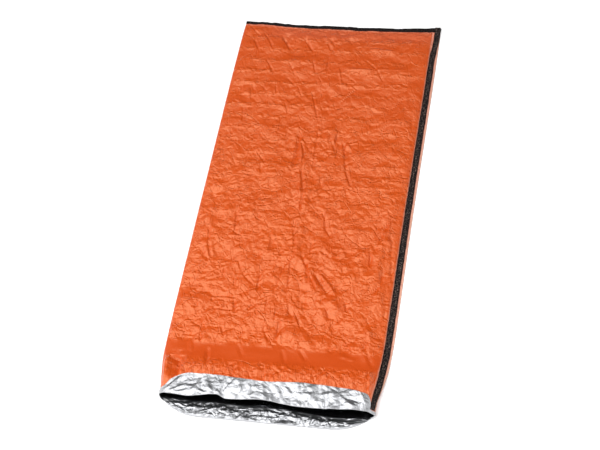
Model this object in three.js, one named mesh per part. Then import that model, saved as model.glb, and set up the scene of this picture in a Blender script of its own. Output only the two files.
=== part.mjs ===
import * as THREE from 'three';

// Emergency sleeping bag laid out flat: one film sack, closed at the foot (+Y) and open at the
// mouth (-Y), where its hem is turned out as a cuff. The film is folded along the left (-X) and
// bonded along the right (+X), where a black tape lies on the bonded margin. Millimetres, +Z up.

// Driving dimensions
const FILM = 1.5; // wall of the film
const TAPE = 1.2; // thickness of the side tape and the foot binding
const GAP = 0.3; // clearance between separate pieces
const EDGE_CLEARANCE = 2; // from the film's cut edge to the fold of the foot binding
const FOOT_Y = 1000.5; // outer face of the foot binding
const FOOT_SEAM = 32; // bonded margin across the foot
const POCKET_END = 46; // where the two layers have parted, from the foot
const FIRST_ROW = 68; // first even row of the body, from the foot
const SIDE_TAPE_WIDTH = 23;
const TAPE_INSET = 1; // from the shoulder to the tape's inner edge
const SIDE_TAPE_END_Y = -926; // end of the side tape, under the cuff
const MOUTH_Y = -790; // from here the rows fan out towards the cuff
const LIP_Y = -1009.6; // lower lip at the middle of the mouth
const LIP_SIDE_Y = -940; // both sides of the mouth
const UNDER_CUFF = 86; // depth of the cuff folded under the lower lip
const SIDE_CUFF = 44; // depth of the cuff where it goes round the sides
const CUFF_GAP_UNDER = 0.8; // space inside the fold of the cuff, below
const CUFF_GAP_OVER = 2.6; // space inside the fold of the cuff, above

// Left fold: its outermost line, the height of that line, and the runs of the curves below and above
const leftFold = [
  { y: 1003, x: -452, height: 1.5, under: 3, over: 12 },
  { y: 960, x: -455, height: 3.5, under: 5, over: 34 },
  { y: 880, x: -457, height: 6, under: 7, over: 55 },
  { y: 600, x: -459, height: 7, under: 8, over: 60 },
  { y: -56, x: -459, height: 7.5, under: 9, over: 60 },
  { y: -560, x: -458, height: 8, under: 10, over: 56 },
  { y: -680, x: -456, height: 10, under: 12, over: 52 },
  { y: -780, x: -450, height: 18, under: 17, over: 48 },
  { y: -860, x: -437, height: 22, under: 20, over: 44 },
  { y: -905, x: -428, height: 23, under: 20, over: 40 },
  { y: -960, x: -426, height: 23, under: 20, over: 38 },
];

// Bonded side: the outer edge and its lift, the shoulder at the tape's inner edge and its lift,
// where the lower layer leaves the floor, and the root line where the two layers part
const bondedSide = [
  { y: 1003, edge: 454, edgeLift: 0, shoulder: 418, shoulderLift: 0, heel: 418, root: 415, rootLift: 0 },
  { y: 930, edge: 457, edgeLift: 0, shoulder: 421, shoulderLift: 0, heel: 421, root: 418, rootLift: 0 },
  { y: 600, edge: 458, edgeLift: 0, shoulder: 422, shoulderLift: 0, heel: 422, root: 419, rootLift: 0 },
  { y: -20, edge: 456, edgeLift: 0, shoulder: 420, shoulderLift: 0, heel: 420, root: 417, rootLift: 0 },
  { y: -590, edge: 459, edgeLift: 0, shoulder: 423, shoulderLift: 0, heel: 423, root: 420, rootLift: 0 },
  { y: -680, edge: 457, edgeLift: 0.8, shoulder: 422, shoulderLift: 3, heel: 420, root: 430, rootLift: 0.8 },
  { y: -748, edge: 453, edgeLift: 3, shoulder: 419, shoulderLift: 12, heel: 415, root: 438, rootLift: 4 },
  { y: -815, edge: 443, edgeLift: 8, shoulder: 416, shoulderLift: 24, heel: 409, root: 434, rootLift: 9 },
  { y: -875, edge: 431, edgeLift: 11, shoulder: 410, shoulderLift: 31, heel: 402, root: 424, rootLift: 12.5 },
  { y: -920, edge: 428, edgeLift: 12, shoulder: 406, shoulderLift: 33, heel: 398, root: 421, rootLift: 13.4 },
  { y: -960, edge: 427, edgeLift: 12, shoulder: 405, shoulderLift: 33, heel: 397, root: 420, rootLift: 13.4 },
];

// Height of the top layer along the middle, its run up from the shoulder, and the lift of the
// lower layer over the binding at the foot and over the turned-under cuff at the mouth
const crown = [
  { y: 1003, height: 4.5, run: 14, floor: 1.5 },
  { y: 972, height: 4.5, run: 14, floor: 1.5 },
  { y: 942, height: 10, run: 36, floor: 0 },
  { y: 860, height: 15, run: 60, floor: 0 },
  { y: 600, height: 16.5, run: 64, floor: 0 },
  { y: 0, height: 18, run: 64, floor: 0 },
  { y: -560, height: 18.5, run: 62, floor: 0 },
  { y: -672, height: 20, run: 56, floor: 0 },
  { y: -738, height: 32, run: 50, floor: 0 },
  { y: -800, height: 46, run: 46, floor: 0 },
  { y: -850, height: 50, run: 42, floor: 0 },
  { y: -885, height: 52, run: 40, floor: 2.3 },
  { y: -960, height: 52, run: 38, floor: 2.3 },
];

// Bow of the foot edge across the width
const footBow = [
  { x: -455, back: 11 },
  { x: -230, back: 2 },
  { x: 0, back: -3 },
  { x: 210, back: -5 },
  { x: 455, back: 5 },
];

// Upper lip of the mouth and the raw edge of the cuff over it, across the width
const upperLip = [
  { x: -400, lip: -942, raw: -895, lift: -2 },
  { x: -369, lip: -946, raw: -861, lift: 0 },
  { x: -290, lip: -947, raw: -846, lift: 1 },
  { x: -190, lip: -932, raw: -848, lift: 5 },
  { x: -150, lip: -944, raw: -852, lift: -2 },
  { x: -10, lip: -937, raw: -858, lift: 1 },
  { x: 128, lip: -950, raw: -851, lift: -2 },
  { x: 271, lip: -948, raw: -856, lift: 0 },
  { x: 340, lip: -943, raw: -865, lift: 0 },
  { x: 400, lip: -940, raw: -893, lift: -2 },
];

// Main folds of the top layer: a soft ridge, or a trough where the height is negative
const folds = [
  { name: 'centre ridge, upper', x0: -90, y0: 400, x1: -22, y1: 20, height: 5, width: 24 },
  { name: 'trough beside it', x0: -118, y0: 330, x1: -80, y1: 100, height: -4, width: 24 },
  { name: 'right of centre ridge', x0: 52, y0: 390, x1: 158, y1: 110, height: 5, width: 26 },
  { name: 'trough beside it', x0: 100, y0: 400, x1: 108, y1: 210, height: -4, width: 22 },
  { name: 'centre ridge, lower', x0: -6, y0: 60, x1: -6, y1: -290, height: 4.5, width: 24 },
  { name: 'left leg of the star', x0: -10, y0: -270, x1: -62, y1: -450, height: 4.5, width: 24 },
  { name: 'right leg of the star', x0: 26, y0: -275, x1: 190, y1: -480, height: 6.5, width: 28 },
  { name: 'trough between legs', x0: 24, y0: -320, x1: 96, y1: -560, height: -4, width: 26 },
  { name: 'right ridge, upper', x0: 372, y0: 60, x1: 352, y1: -160, height: 6, width: 26 },
  { name: 'right ridge, lower', x0: 318, y0: -170, x1: 366, y1: -420, height: 5, width: 26 },
  { name: 'trough between ridges', x0: 338, y0: -40, x1: 322, y1: -300, height: -4, width: 22 },
  { name: 'right shoulder pucker', x0: 352, y0: -600, x1: 356, y1: -700, height: 5, width: 24 },
  { name: 'left ridge', x0: -384, y0: -140, x1: -352, y1: -340, height: 4, width: 26 },
  { name: 'left lower ridge', x0: -316, y0: -570, x1: -318, y1: -690, height: 4, width: 26 },
  { name: 'foot dent 1', x0: -392, y0: 920, x1: -352, y1: 830, height: -4, width: 24 },
  { name: 'foot dent 2', x0: -250, y0: 915, x1: -206, y1: 830, height: -4.5, width: 26 },
  { name: 'foot dent 3', x0: -150, y0: 905, x1: -104, y1: 835, height: -3.5, width: 24 },
  { name: 'foot swell', x0: 120, y0: 872, x1: 260, y1: 860, height: 4, width: 30 },
  { name: 'cross ridge, far', x0: -400, y0: 770, x1: -80, y1: 762, height: 2.5, width: 34 },
  { name: 'cross ridge, far right', x0: 70, y0: 740, x1: 330, y1: 728, height: 4, width: 34 },
  { name: 'cross trough, middle', x0: -400, y0: 250, x1: -140, y1: 240, height: -2, width: 34 },
  { name: 'cross ridge, middle', x0: 180, y0: 270, x1: 390, y1: 262, height: 3, width: 34 },
  { name: 'cross ridge, left', x0: -400, y0: -60, x1: -120, y1: -66, height: 3, width: 34 },
  { name: 'cross trough, right', x0: 130, y0: -168, x1: 300, y1: -176, height: -3, width: 34 },
  { name: 'cross trough, left', x0: -420, y0: -462, x1: -200, y1: -470, height: -3, width: 34 },
  { name: 'last ridge before the rise', x0: -400, y0: -648, x1: 330, y1: -640, height: 3, width: 30 },
  { name: 'swell before the cuff', x0: -330, y0: -812, x1: 330, y1: -806, height: 4, width: 30 },
];

// Broad unevenness between the folds: height, wavelengths across and along, and a shift
const swells = [
  { height: 1.1, across: 310, along: 205, shift: 0.4 },
  { height: 0.9, across: -240, along: 330, shift: 2.1 },
  { height: 0.7, across: 520, along: -150, shift: 4.0 },
];

// Depth of the foot binding's upper leg across the width; its lower leg is plain
const bindingDepth = [
  { x: -460, depth: 11 },
  { x: -300, depth: 12 },
  { x: -200, depth: 14 },
  { x: 0, depth: 18 },
  { x: 200, depth: 19 },
  { x: 330, depth: 22 },
  { x: 460, depth: 24 },
];
const BINDING_UNDER = 16; // depth of the binding's lower leg
const BINDING_STEPS = 40;

// Points of one ring round the sack
const UNDER_POINTS = 9;
const CORNER_CROWDING = 0.75; // how far the points below draw towards the two corners
const FOLD_UNDER_POINTS = 2;
const FOLD_OVER_POINTS = 3;
const OVER_POINTS = 30;
const SHOULDER_POINTS = 4;
const BODY_ROWS = 38; // rings along the even part of the body
const MOUTH_ROWS = 3;
const CUFF_ROWS = 4;

const { lerp, smoothstep } = THREE.MathUtils;

// Smooth value of a table's column at a place along its first column
function read(table, axis, key, place) {
  const last = table.length - 1;
  const rising = table[last][axis] > table[0][axis];
  let k = 0;
  while (k < last - 1 && (rising ? place > table[k + 1][axis] : place < table[k + 1][axis])) k += 1;
  const from = table[k];
  const to = table[k + 1];
  const span = to[axis] - from[axis];
  const t = Math.min(1, Math.max(0, (place - from[axis]) / span));
  const slope = (j) => {
    if (j <= 0 || j >= last) return 0;
    return (table[j + 1][key] - table[j - 1][key]) / (table[j + 1][axis] - table[j - 1][axis]);
  };
  const straight = to[key] - from[key];
  const limit = (value) => {
    const bound = 3 * Math.abs(straight);
    return Math.min(bound, Math.max(-bound, value * span));
  };
  const a = limit(slope(k));
  const b = limit(slope(k + 1));
  const t2 = t * t;
  const t3 = t2 * t;
  return from[key] * (2 * t3 - 3 * t2 + 1) + a * (t3 - 2 * t2 + t) + to[key] * (3 * t2 - 2 * t3) + b * (t3 - t2);
}

// All sizes of the sack's section at one place along its length
function sectionAt(y) {
  const floor = read(crown, 'y', 'floor', y);
  const pair = floor + 2 * FILM;
  const side = (key) => read(bondedSide, 'y', key, y);
  const fold = (key) => read(leftFold, 'y', key, y);
  return {
    y,
    floor,
    left: fold('x'),
    leftHeight: floor + fold('height'),
    under: fold('under'),
    over: fold('over'),
    height: read(crown, 'y', 'height', y),
    run: read(crown, 'y', 'run', y),
    heel: side('heel'),
    edge: side('edge'),
    edgeLow: floor + side('edgeLift'),
    shoulder: side('shoulder'),
    shoulderHeight: pair + side('shoulderLift'),
    root: side('root'),
    rootHeight: floor + FILM + 0.5 + side('rootLift'),
    mouth: smoothstep(-y, 690, 840),
  };
}

// Folds and swells of the top layer
function relief(x, y) {
  let sum = 0;
  for (const fold of folds) {
    const dx = fold.x1 - fold.x0;
    const dy = fold.y1 - fold.y0;
    const t = Math.min(1, Math.max(0, ((x - fold.x0) * dx + (y - fold.y0) * dy) / (dx * dx + dy * dy)));
    const away = Math.hypot(x - fold.x0 - t * dx, y - fold.y0 - t * dy);
    sum += fold.height * Math.exp(-((away / fold.width) ** 2));
  }
  for (const swell of swells) {
    sum += swell.height * Math.sin(2 * Math.PI * (x / swell.across + y / swell.along) + swell.shift);
  }
  return sum;
}

// Height of the outer face of the top layer
function topHeight(x, section) {
  const { y, left, over, shoulder, shoulderHeight, run } = section;
  const foot = smoothstep(965 - y, 0, 60);
  const lipLift = read(upperLip, 'x', 'lift', x) * smoothstep(-y, 860, 940);
  const crest = section.height + lipLift + relief(x, y) * foot;
  const inFromFold = smoothstep(x, left + 0.5 * over, left + over);
  const rounded = lerp(section.height, crest, inFromFold);
  const t = Math.min(1, Math.max(0, (shoulder - x) / run));
  return shoulderHeight + (rounded - shoulderHeight) * Math.sqrt(1 - (1 - t) ** 2);
}

// One ring of the sack's section, as [x, z] pairs: along the floor to the left, round the left
// fold, back over the top, and round the bonded side. The pocket ring is the film's inner face.
function ring(section, pocket) {
  const { left, under, over, floor, leftHeight, heel, edge, edgeLow, shoulder, shoulderHeight } = section;
  const wall = pocket ? FILM : 0;
  const points = [];
  const put = (x, z) => points.push([x, z]);
  const innerTop = lerp(section.root - 4, shoulder - FILM, section.mouth);
  const innerHeel = lerp(section.root - 4, heel - FILM, section.mouth);
  const heelX = pocket ? innerHeel : heel;
  for (let k = 0; k < UNDER_POINTS; k += 1) {
    const even = k / (UNDER_POINTS - 1);
    const crowded = 0.5 - 0.5 * Math.cos(Math.PI * even);
    put(lerp(heelX, left + under, lerp(even, crowded, CORNER_CROWDING)), floor + wall);
  }
  for (let k = 1; k <= FOLD_UNDER_POINTS + 1; k += 1) {
    const angle = (Math.PI / 2) * (k / (FOLD_UNDER_POINTS + 1));
    const drop = leftHeight - floor - wall;
    put(left + wall + (under - wall) * (1 - Math.sin(angle)), floor + wall + drop * (1 - Math.cos(angle)));
  }
  const crest = topHeight(left + over, section) - wall;
  for (let k = 1; k <= FOLD_OVER_POINTS; k += 1) {
    const angle = (Math.PI / 2) * (k / (FOLD_OVER_POINTS + 1));
    const x = left + wall + (over - wall) * (1 - Math.cos(angle));
    put(x, leftHeight + (crest - leftHeight) * Math.sin(angle));
  }
  const level = Math.min(shoulder - section.run, section.root - 12);
  for (let k = 0; k < OVER_POINTS; k += 1) {
    const x = lerp(left + over, level, k / (OVER_POINTS - 1));
    put(x, topHeight(x, section) - wall);
  }
  for (let k = 1; k <= SHOULDER_POINTS; k += 1) {
    const t = Math.sin((Math.PI / 2) * (k / SHOULDER_POINTS));
    const outerX = lerp(level, shoulder, t);
    const x = pocket ? lerp(level, innerTop, t) : outerX;
    put(x, lerp(topHeight(x, section), topHeight(outerX, section), section.mouth) - wall);
  }
  if (pocket) {
    const end = points[points.length - 1];
    const root = [section.root, section.rootHeight];
    put(lerp(end[0], root[0], 0.6), lerp(end[1], root[1] + 0.4, 0.6));
    put(root[0], root[1] + 0.4);
    put(root[0], root[1] - 0.4);
    put(lerp(innerHeel, root[0], 0.6), lerp(floor + wall, root[1] - 0.4, 0.6));
  } else {
    const edgeHigh = edgeLow + 2 * FILM;
    put(lerp(shoulder, edge, 0.5), lerp(shoulderHeight, edgeHigh, 0.5));
    put(edge, edgeHigh);
    put(edge, edgeLow);
    put(lerp(edge, heel, 0.5), lerp(edgeLow, floor, 0.5));
  }
  return points;
}

const RING_SIZE = ring(sectionAt(0), false).length;
const LEFT_POINT = UNDER_POINTS + FOLD_UNDER_POINTS; // the left fold's outermost line
const RIGHT_POINT = RING_SIZE - 3; // the upper corner of the bonded edge

// The bow of the foot edge, which fades out along the body
function bowed(x, y) {
  return y + read(footBow, 'x', 'back', x) * smoothstep(y, 720, 950);
}

// Where a ring's point meets the lip and the raw edge of the cuff
function mouthLines(k, x) {
  const isUnder = k < UNDER_POINTS || k === RING_SIZE - 1;
  const isOver = k > LEFT_POINT + 2 && k < RIGHT_POINT - 3;
  if (isOver) return { lip: read(upperLip, 'x', 'lip', x), raw: read(upperLip, 'x', 'raw', x) };
  if (!isUnder) return { lip: LIP_SIDE_Y, raw: LIP_SIDE_Y + SIDE_CUFF };
  const corner = Math.max(0, (Math.abs(x) - 240) / 185);
  const lip = lerp(LIP_Y, LIP_SIDE_Y, Math.min(1, corner ** 2.5));
  return { lip, raw: Math.max(lip + UNDER_CUFF * (1 - corner) + SIDE_CUFF * corner, lip + 30) };
}

// One point of the sack at its own place along the length, moved out of the section by an offset
function sackPoint(k, y, offset, pocket) {
  const points = ring(sectionAt(y), pocket);
  const [x, z] = points[k];
  if (offset === 0) return [x, z];
  const before = points[(k + RING_SIZE - 1) % RING_SIZE];
  const after = points[(k + 1) % RING_SIZE];
  const out = new THREE.Vector2(before[1] - after[1], after[0] - before[0]).normalize();
  return [x + out.x * offset, z + out.y * offset];
}

// Cap of a flat outline lying across the length
function flatCap(outline, [across, up]) {
  const flat = outline.map((point) => new THREE.Vector2(point[across], point[up]));
  const along = Math.sign(THREE.ShapeUtils.area(flat));
  return THREE.ShapeUtils.triangulateShape(flat, []).map((face) => {
    const same = Math.sign(THREE.ShapeUtils.area(face.map((k) => flat[k]))) === along;
    return same ? face : [...face].reverse();
  });
}

// Cap of the sack's thin outline, zipped between its lower and upper edges from left to right
function zippedCap(outline) {
  const lower = [];
  for (let k = LEFT_POINT; k >= 0; k -= 1) lower.push(k);
  for (let k = RING_SIZE - 1; k > RIGHT_POINT; k -= 1) lower.push(k);
  const upper = [];
  for (let k = LEFT_POINT; k <= RIGHT_POINT; k += 1) upper.push(k);
  const faces = [];
  let i = 0;
  let j = 0;
  while (i < lower.length - 1 || j < upper.length - 1) {
    const lowerNext = i < lower.length - 1 ? outline[lower[i + 1]][0] : Infinity;
    const upperNext = j < upper.length - 1 ? outline[upper[j + 1]][0] : Infinity;
    if (lowerNext < upperNext) {
      if (i > 0 || j > 0) faces.push([lower[i + 1], lower[i], upper[j]]);
      i += 1;
    } else {
      if (i > 0 || j > 0) faces.push([upper[j], upper[j + 1], lower[i]]);
      j += 1;
    }
  }
  return faces;
}

// A closed body made of rings, each joined to the next and capped at both ends, with all its
// faces turned outwards
function ringBody(rings, capOf) {
  const size = rings[0].length;
  const points = rings.flat();
  const faces = [];
  for (let r = 0; r + 1 < rings.length; r += 1) {
    for (let k = 0; k < size; k += 1) {
      const a = r * size + k;
      const b = r * size + ((k + 1) % size);
      faces.push([a, a + size, b + size], [a, b + size, b]);
    }
  }
  faces.push(...capOf(rings[0]));
  const last = rings.length - 1;
  for (const face of capOf(rings[last])) faces.push(face.map((k) => last * size + k).reverse());
  const corners = points.map((point) => new THREE.Vector3(...point));
  const volume = faces.reduce((sum, [a, b, c]) => {
    return sum + corners[a].dot(new THREE.Vector3().crossVectors(corners[b], corners[c]));
  }, 0);
  if (volume < 0) faces.forEach((face) => face.reverse());
  const geometry = new THREE.BufferGeometry();
  geometry.setAttribute('position', new THREE.Float32BufferAttribute(points.flat(), 3));
  geometry.setIndex(faces.flat());
  geometry.computeVertexNormals();
  return geometry;
}

const footFilmY = FOOT_Y - TAPE - EDGE_CLEARANCE;
const firstRowY = FOOT_Y - FIRST_ROW;
const bodyRows = [footFilmY, FOOT_Y - FOOT_SEAM, FOOT_Y - POCKET_END];
for (let k = 0; k < BODY_ROWS; k += 1) bodyRows.push(lerp(firstRowY, MOUTH_Y, k / BODY_ROWS));

// Places between the body's rows and the raw edge of the cuff, and on to the lip
const toRaw = (t) => (line) => lerp(MOUTH_Y, line.raw, t);
const toLip = (t) => (line) => lerp(line.raw, line.lip, t);

function filmSack() {
  const straightRing = (y, pocket) =>
    ring(sectionAt(y), pocket).map(([x, z]) => [x, bowed(x, y), z]);
  const cuffGap = (k) => {
    const isUnder = k < UNDER_POINTS || k === RING_SIZE - 1;
    return isUnder ? CUFF_GAP_UNDER : CUFF_GAP_OVER;
  };
  const lines = ring(sectionAt(LIP_SIDE_Y), false).map(([x], k) => mouthLines(k, x));
  const fannedRing = (place, lay) =>
    lines.map((line, k) => {
      const y = place(line);
      const { offset, past, pocket } = lay(k);
      const [x, z] = sackPoint(k, y, offset, pocket);
      return [x, y - past, z];
    });
  const outer = () => ({ offset: 0, past: 0, pocket: false });
  const inner = () => ({ offset: 0, past: 0, pocket: true });
  const cuffUnder = (k) => ({ offset: cuffGap(k), past: 0, pocket: false });
  const cuffOver = (k) => ({ offset: cuffGap(k) + FILM, past: 0, pocket: false });
  const foldInside = (k) => ({ offset: cuffGap(k) / 2, past: cuffGap(k) / 2, pocket: false });
  const foldOutside = (k) => ({ offset: cuffGap(k) / 2, past: cuffGap(k) / 2 + FILM, pocket: false });
  const rings = bodyRows.map((y) => straightRing(y, false));
  for (let k = 0; k < MOUTH_ROWS; k += 1) rings.push(fannedRing(toRaw(k / MOUTH_ROWS), outer));
  for (let k = 0; k <= CUFF_ROWS; k += 1) rings.push(fannedRing(toLip(k / CUFF_ROWS), outer));
  rings.push(fannedRing(toLip(1), foldInside));
  for (let k = CUFF_ROWS; k >= 0; k -= 1) rings.push(fannedRing(toLip(k / CUFF_ROWS), cuffUnder));
  for (let k = 0; k <= CUFF_ROWS; k += 1) rings.push(fannedRing(toLip(k / CUFF_ROWS), cuffOver));
  rings.push(fannedRing(toLip(1), foldOutside));
  for (let k = CUFF_ROWS; k >= 0; k -= 1) rings.push(fannedRing(toLip(k / CUFF_ROWS), inner));
  for (let k = MOUTH_ROWS - 1; k >= 0; k -= 1) rings.push(fannedRing(toRaw(k / MOUTH_ROWS), inner));
  const pocketRows = bodyRows.filter((y) => y <= FOOT_Y - POCKET_END).reverse();
  for (const y of pocketRows) rings.push(straightRing(y, true));
  return ringBody(rings, zippedCap);
}

// Tape folded over the foot edge
function footBinding() {
  const rings = [];
  const sectionFoot = sectionAt(footFilmY);
  const from = sectionFoot.left - 1;
  const to = sectionFoot.edge + 1;
  for (let k = 0; k <= BINDING_STEPS; k += 1) {
    const x = lerp(from, to, k / BINDING_STEPS);
    const depth = read(bindingDepth, 'x', 'depth', x);
    const low = sectionFoot.floor - GAP;
    const high = sectionFoot.height + GAP;
    const inside = FOOT_Y - TAPE;
    const outline = [
      [FOOT_Y - BINDING_UNDER, low - TAPE],
      [FOOT_Y - BINDING_UNDER, low],
      [inside, low],
      [inside, high],
      [FOOT_Y - depth, high],
      [FOOT_Y - depth, high + TAPE],
      [FOOT_Y - 1, high + TAPE],
      [FOOT_Y, high + TAPE - 1],
      [FOOT_Y, low - TAPE + 1],
      [FOOT_Y - 1, low - TAPE],
    ];
    rings.push(outline.map(([y, z]) => [x, bowed(x, y), z]));
  }
  return ringBody(rings, (outline) => flatCap(outline, [1, 2]));
}

// Tape along the bonded side, from the foot binding to under the cuff
function sideTape() {
  const start = FOOT_Y - read(bindingDepth, 'x', 'depth', 440) - GAP;
  const sideLine = { lip: LIP_SIDE_Y, raw: LIP_SIDE_Y + SIDE_CUFF };
  const mouthRows = [];
  for (let k = 0; k < MOUTH_ROWS; k += 1) mouthRows.push(toRaw(k / MOUTH_ROWS)(sideLine));
  for (let k = 0; k < CUFF_ROWS; k += 1) mouthRows.push(toLip(k / CUFF_ROWS)(sideLine));
  const rows = [start, ...bodyRows, ...mouthRows, SIDE_TAPE_END_Y];
  const rings = rows
    .filter((y) => y <= start && y >= SIDE_TAPE_END_Y)
    .map((y) => {
      const section = sectionAt(y);
      const shoulder = new THREE.Vector2(section.shoulder, section.shoulderHeight);
      const edge = new THREE.Vector2(section.edge, section.edgeLow + 2 * FILM);
      const along = edge.clone().sub(shoulder).normalize();
      const out = new THREE.Vector2(-along.y, along.x);
      const corner = (run, lift) => shoulder.clone().addScaledVector(along, run).addScaledVector(out, lift);
      const corners = [
        corner(TAPE_INSET, GAP),
        corner(TAPE_INSET + SIDE_TAPE_WIDTH, GAP),
        corner(TAPE_INSET + SIDE_TAPE_WIDTH, GAP + TAPE),
        corner(TAPE_INSET, GAP + TAPE),
      ];
      return corners.map(({ x, y: z }) => [x, bowed(x, y), z]);
    });
  return ringBody(rings, (outline) => flatCap(outline, [0, 2]));
}

const film = new THREE.MeshStandardMaterial({ color: 0xe15a28, roughness: 0.38, metalness: 0 });
const tape = new THREE.MeshStandardMaterial({ color: 0x1e1919, roughness: 0.85, metalness: 0 });

const bag = new THREE.Group();
bag.name = 'emergency_sleeping_bag';
for (const [name, geometry, material] of [
  ['film_sack', filmSack(), film],
  ['foot_binding', footBinding(), tape],
  ['side_tape', sideTape(), tape],
]) {
  const mesh = new THREE.Mesh(geometry, material);
  mesh.name = name;
  bag.add(mesh);
}

export default bag;
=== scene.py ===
"""Emergency sleeping bag of crinkled film, laid out flat with its mouth hem turned out.

The film is one cut sheet, orange outside and silver inside. It is folded along its left edge
and bonded along its right side and its foot, where black nonwoven tapes cover the margins.
Lengths in the tables are millimetres, and meshes are in metres: +X is the taped side, +Y the
closed foot and +Z up.
"""

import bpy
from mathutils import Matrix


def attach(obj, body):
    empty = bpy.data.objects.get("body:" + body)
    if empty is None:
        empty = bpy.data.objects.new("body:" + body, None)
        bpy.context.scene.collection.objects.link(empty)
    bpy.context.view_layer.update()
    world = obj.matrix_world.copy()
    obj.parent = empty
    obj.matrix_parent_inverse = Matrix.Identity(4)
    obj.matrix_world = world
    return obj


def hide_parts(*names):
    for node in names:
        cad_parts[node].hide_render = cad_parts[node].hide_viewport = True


bl_info = {
    "name": "Emergency sleeping bag",
    "version": (1, 0, 0),
    "blender": (4, 5, 0),
    "location": "View3D > Sidebar > Bag",
    "description": "Builds a film emergency sleeping bag laid out flat around its fixed frame",
    "category": "Object",
}

import math

import bmesh
import bpy
import numpy as np
from bpy.props import FloatProperty, FloatVectorProperty, IntProperty, PointerProperty
from mathutils import Matrix, Vector
from mathutils.bvhtree import BVHTree
from mathutils.geometry import delaunay_2d_cdt

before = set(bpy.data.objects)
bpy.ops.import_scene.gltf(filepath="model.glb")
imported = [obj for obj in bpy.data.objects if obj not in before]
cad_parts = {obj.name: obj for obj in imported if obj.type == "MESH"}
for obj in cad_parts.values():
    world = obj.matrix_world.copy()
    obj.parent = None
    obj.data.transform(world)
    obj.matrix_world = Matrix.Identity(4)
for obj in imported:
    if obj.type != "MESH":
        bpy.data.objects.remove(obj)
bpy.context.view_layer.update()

MM = 0.001
BODY = "root"


def linear(code):
    """Turns an sRGB hex colour into linear values."""
    channels = [int(code[i:i + 2], 16) / 255 for i in (1, 3, 5)]
    return tuple(c / 12.92 if c <= 0.04045 else ((c + 0.055) / 1.055) ** 2.4 for c in channels)


class BagSizes(bpy.types.PropertyGroup):
    """Sizes of the bag that a user would change."""

    film: FloatProperty(name="Film wall", description="Wall of the film as drawn",
                        default=0.4 * MM, unit="LENGTH")
    tape: FloatProperty(name="Tape thickness", description="Thickness of both tapes",
                        default=1.0 * MM, unit="LENGTH")
    crumple: FloatProperty(name="Crumple", description="Strength of the small creases in the film",
                           default=1.0, min=0, max=2, subtype="FACTOR")
    crease_seed: IntProperty(name="Crease seed", description="Start of the random small creases",
                             default=7, min=0)


class BagColours(bpy.types.PropertyGroup):
    """Colours of the bag that a user would change."""

    film: FloatVectorProperty(name="Film", description="Outer face of the film",
                              default=linear("#BB4204"), subtype="COLOR", min=0, max=1)
    foil: FloatVectorProperty(name="Foil", description="Aluminised inner face of the film",
                              default=linear("#BCBDC0"), subtype="COLOR", min=0, max=1)
    tape: FloatVectorProperty(name="Tape", description="Side tape and foot binding",
                              default=linear("#0E0A0B"), subtype="COLOR", min=0, max=1)
    floor: FloatVectorProperty(name="Floor", description="Plain floor of the studio",
                               default=linear("#F7F7F7"), subtype="COLOR", min=0, max=1)


# Shape of the bag, from the same sizes as its solids

FOOT_Y = 1000.5  # outer end of the foot binding's fold, before the bow of the foot edge
EDGE_CLEARANCE = 2.0  # from the film's cut end to the inside of the binding's fold
TAPE = 1.2  # thickness of a tape's solid
GAP = 0.3  # between a tape and the film
PAIR = 3.0  # the two bonded layers of the film's solid together
MOUTH_Y = -790.0  # from here on the sheet's rows follow the cuff's raw edge
LIP_Y = -1009.6  # lower lip at its middle
LIP_SIDE_Y = -940.0  # both lips where they meet at the sides
LIP_STRAIGHT = 240  # half of the lower lip's straight stretch
LIP_CORNER = 185  # width of each curved corner of the lower lip
LIP_CURVE = 2.5  # power of that curve
UNDER_CUFF = 86.0  # depth of the cuff under the lower lip
SIDE_CUFF = 18.0  # depth of the cuff at the left fold
SEAM_CUFF = 10.0  # depth of the cuff at the bonded side
CUFF_GAP_UNDER = 0.9  # between the cuff and the skin below the lower lip
CUFF_GAP_OVER = 3.0  # between the cuff and the skin above the upper lip
LIP_LIFT_RUN = (860, 940)  # stretch before the mouth over which the upper lip's own lift comes in
FOLDS_END_Y = 965  # the main folds stop here, at the foot seam
FOLDS_END_RUN = 60  # stretch over which they die out
BOW_RUN = (720, 950)  # stretch over which the bow of the foot edge comes in
LEAST_RUN = 15  # least width of the rounding down to the bonded side


def table(names, rows):
    """A short table as one array for each named column."""
    return {name: np.array([row[i] for row in rows], float) for i, name in enumerate(names.split())}


def each(rows):
    """The rows of a table, one after another."""
    return zip(*rows.values())


LEFT_FOLD = table("y x height under over", (
    (1003, -452, 1.5, 3, 12),
    (960, -455, 3.5, 5, 34),
    (880, -457, 6, 7, 55),
    (600, -459, 7, 8, 60),
    (-56, -459, 7.5, 9, 60),
    (-560, -458, 8, 10, 56),
    (-680, -456, 10, 12, 52),
    (-780, -450, 18, 17, 48),
    (-860, -437, 22, 20, 44),
    (-905, -428, 23, 20, 40),
    (-960, -426, 23, 20, 38),
))

BONDED_SIDE = table("y edge edge_lift shoulder shoulder_lift heel", (
    (1003, 454, 0, 418, 0, 418),
    (930, 457, 0, 421, 0, 421),
    (600, 458, 0, 422, 0, 422),
    (-20, 456, 0, 420, 0, 420),
    (-590, 459, 0, 423, 0, 423),
    (-680, 457, 0.8, 422, 3, 420),
    (-748, 453, 3, 419, 12, 415),
    (-815, 443, 8, 416, 24, 409),
    (-875, 431, 11, 410, 31, 402),
    (-920, 428, 12, 406, 33, 398),
    (-960, 427, 12, 405, 33, 397),
))

CROWN = table("y height run floor", (
    (1003, 4.5, 14, 1.5),
    (972, 4.5, 14, 1.5),
    (942, 10, 36, 0),
    (860, 15, 60, 0),
    (600, 16.5, 64, 0),
    (0, 18, 64, 0),
    (-560, 18.5, 62, 0),
    (-672, 20, 56, 0),
    (-738, 32, 50, 0),
    (-800, 46, 46, 0),
    (-850, 50, 42, 0),
    (-885, 52, 40, 2.3),
    (-960, 52, 38, 2.3),
))

FOOT_BOW = table("x back", ((-455, 11), (-230, 2), (0, -3), (210, -5), (455, 5)))

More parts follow.
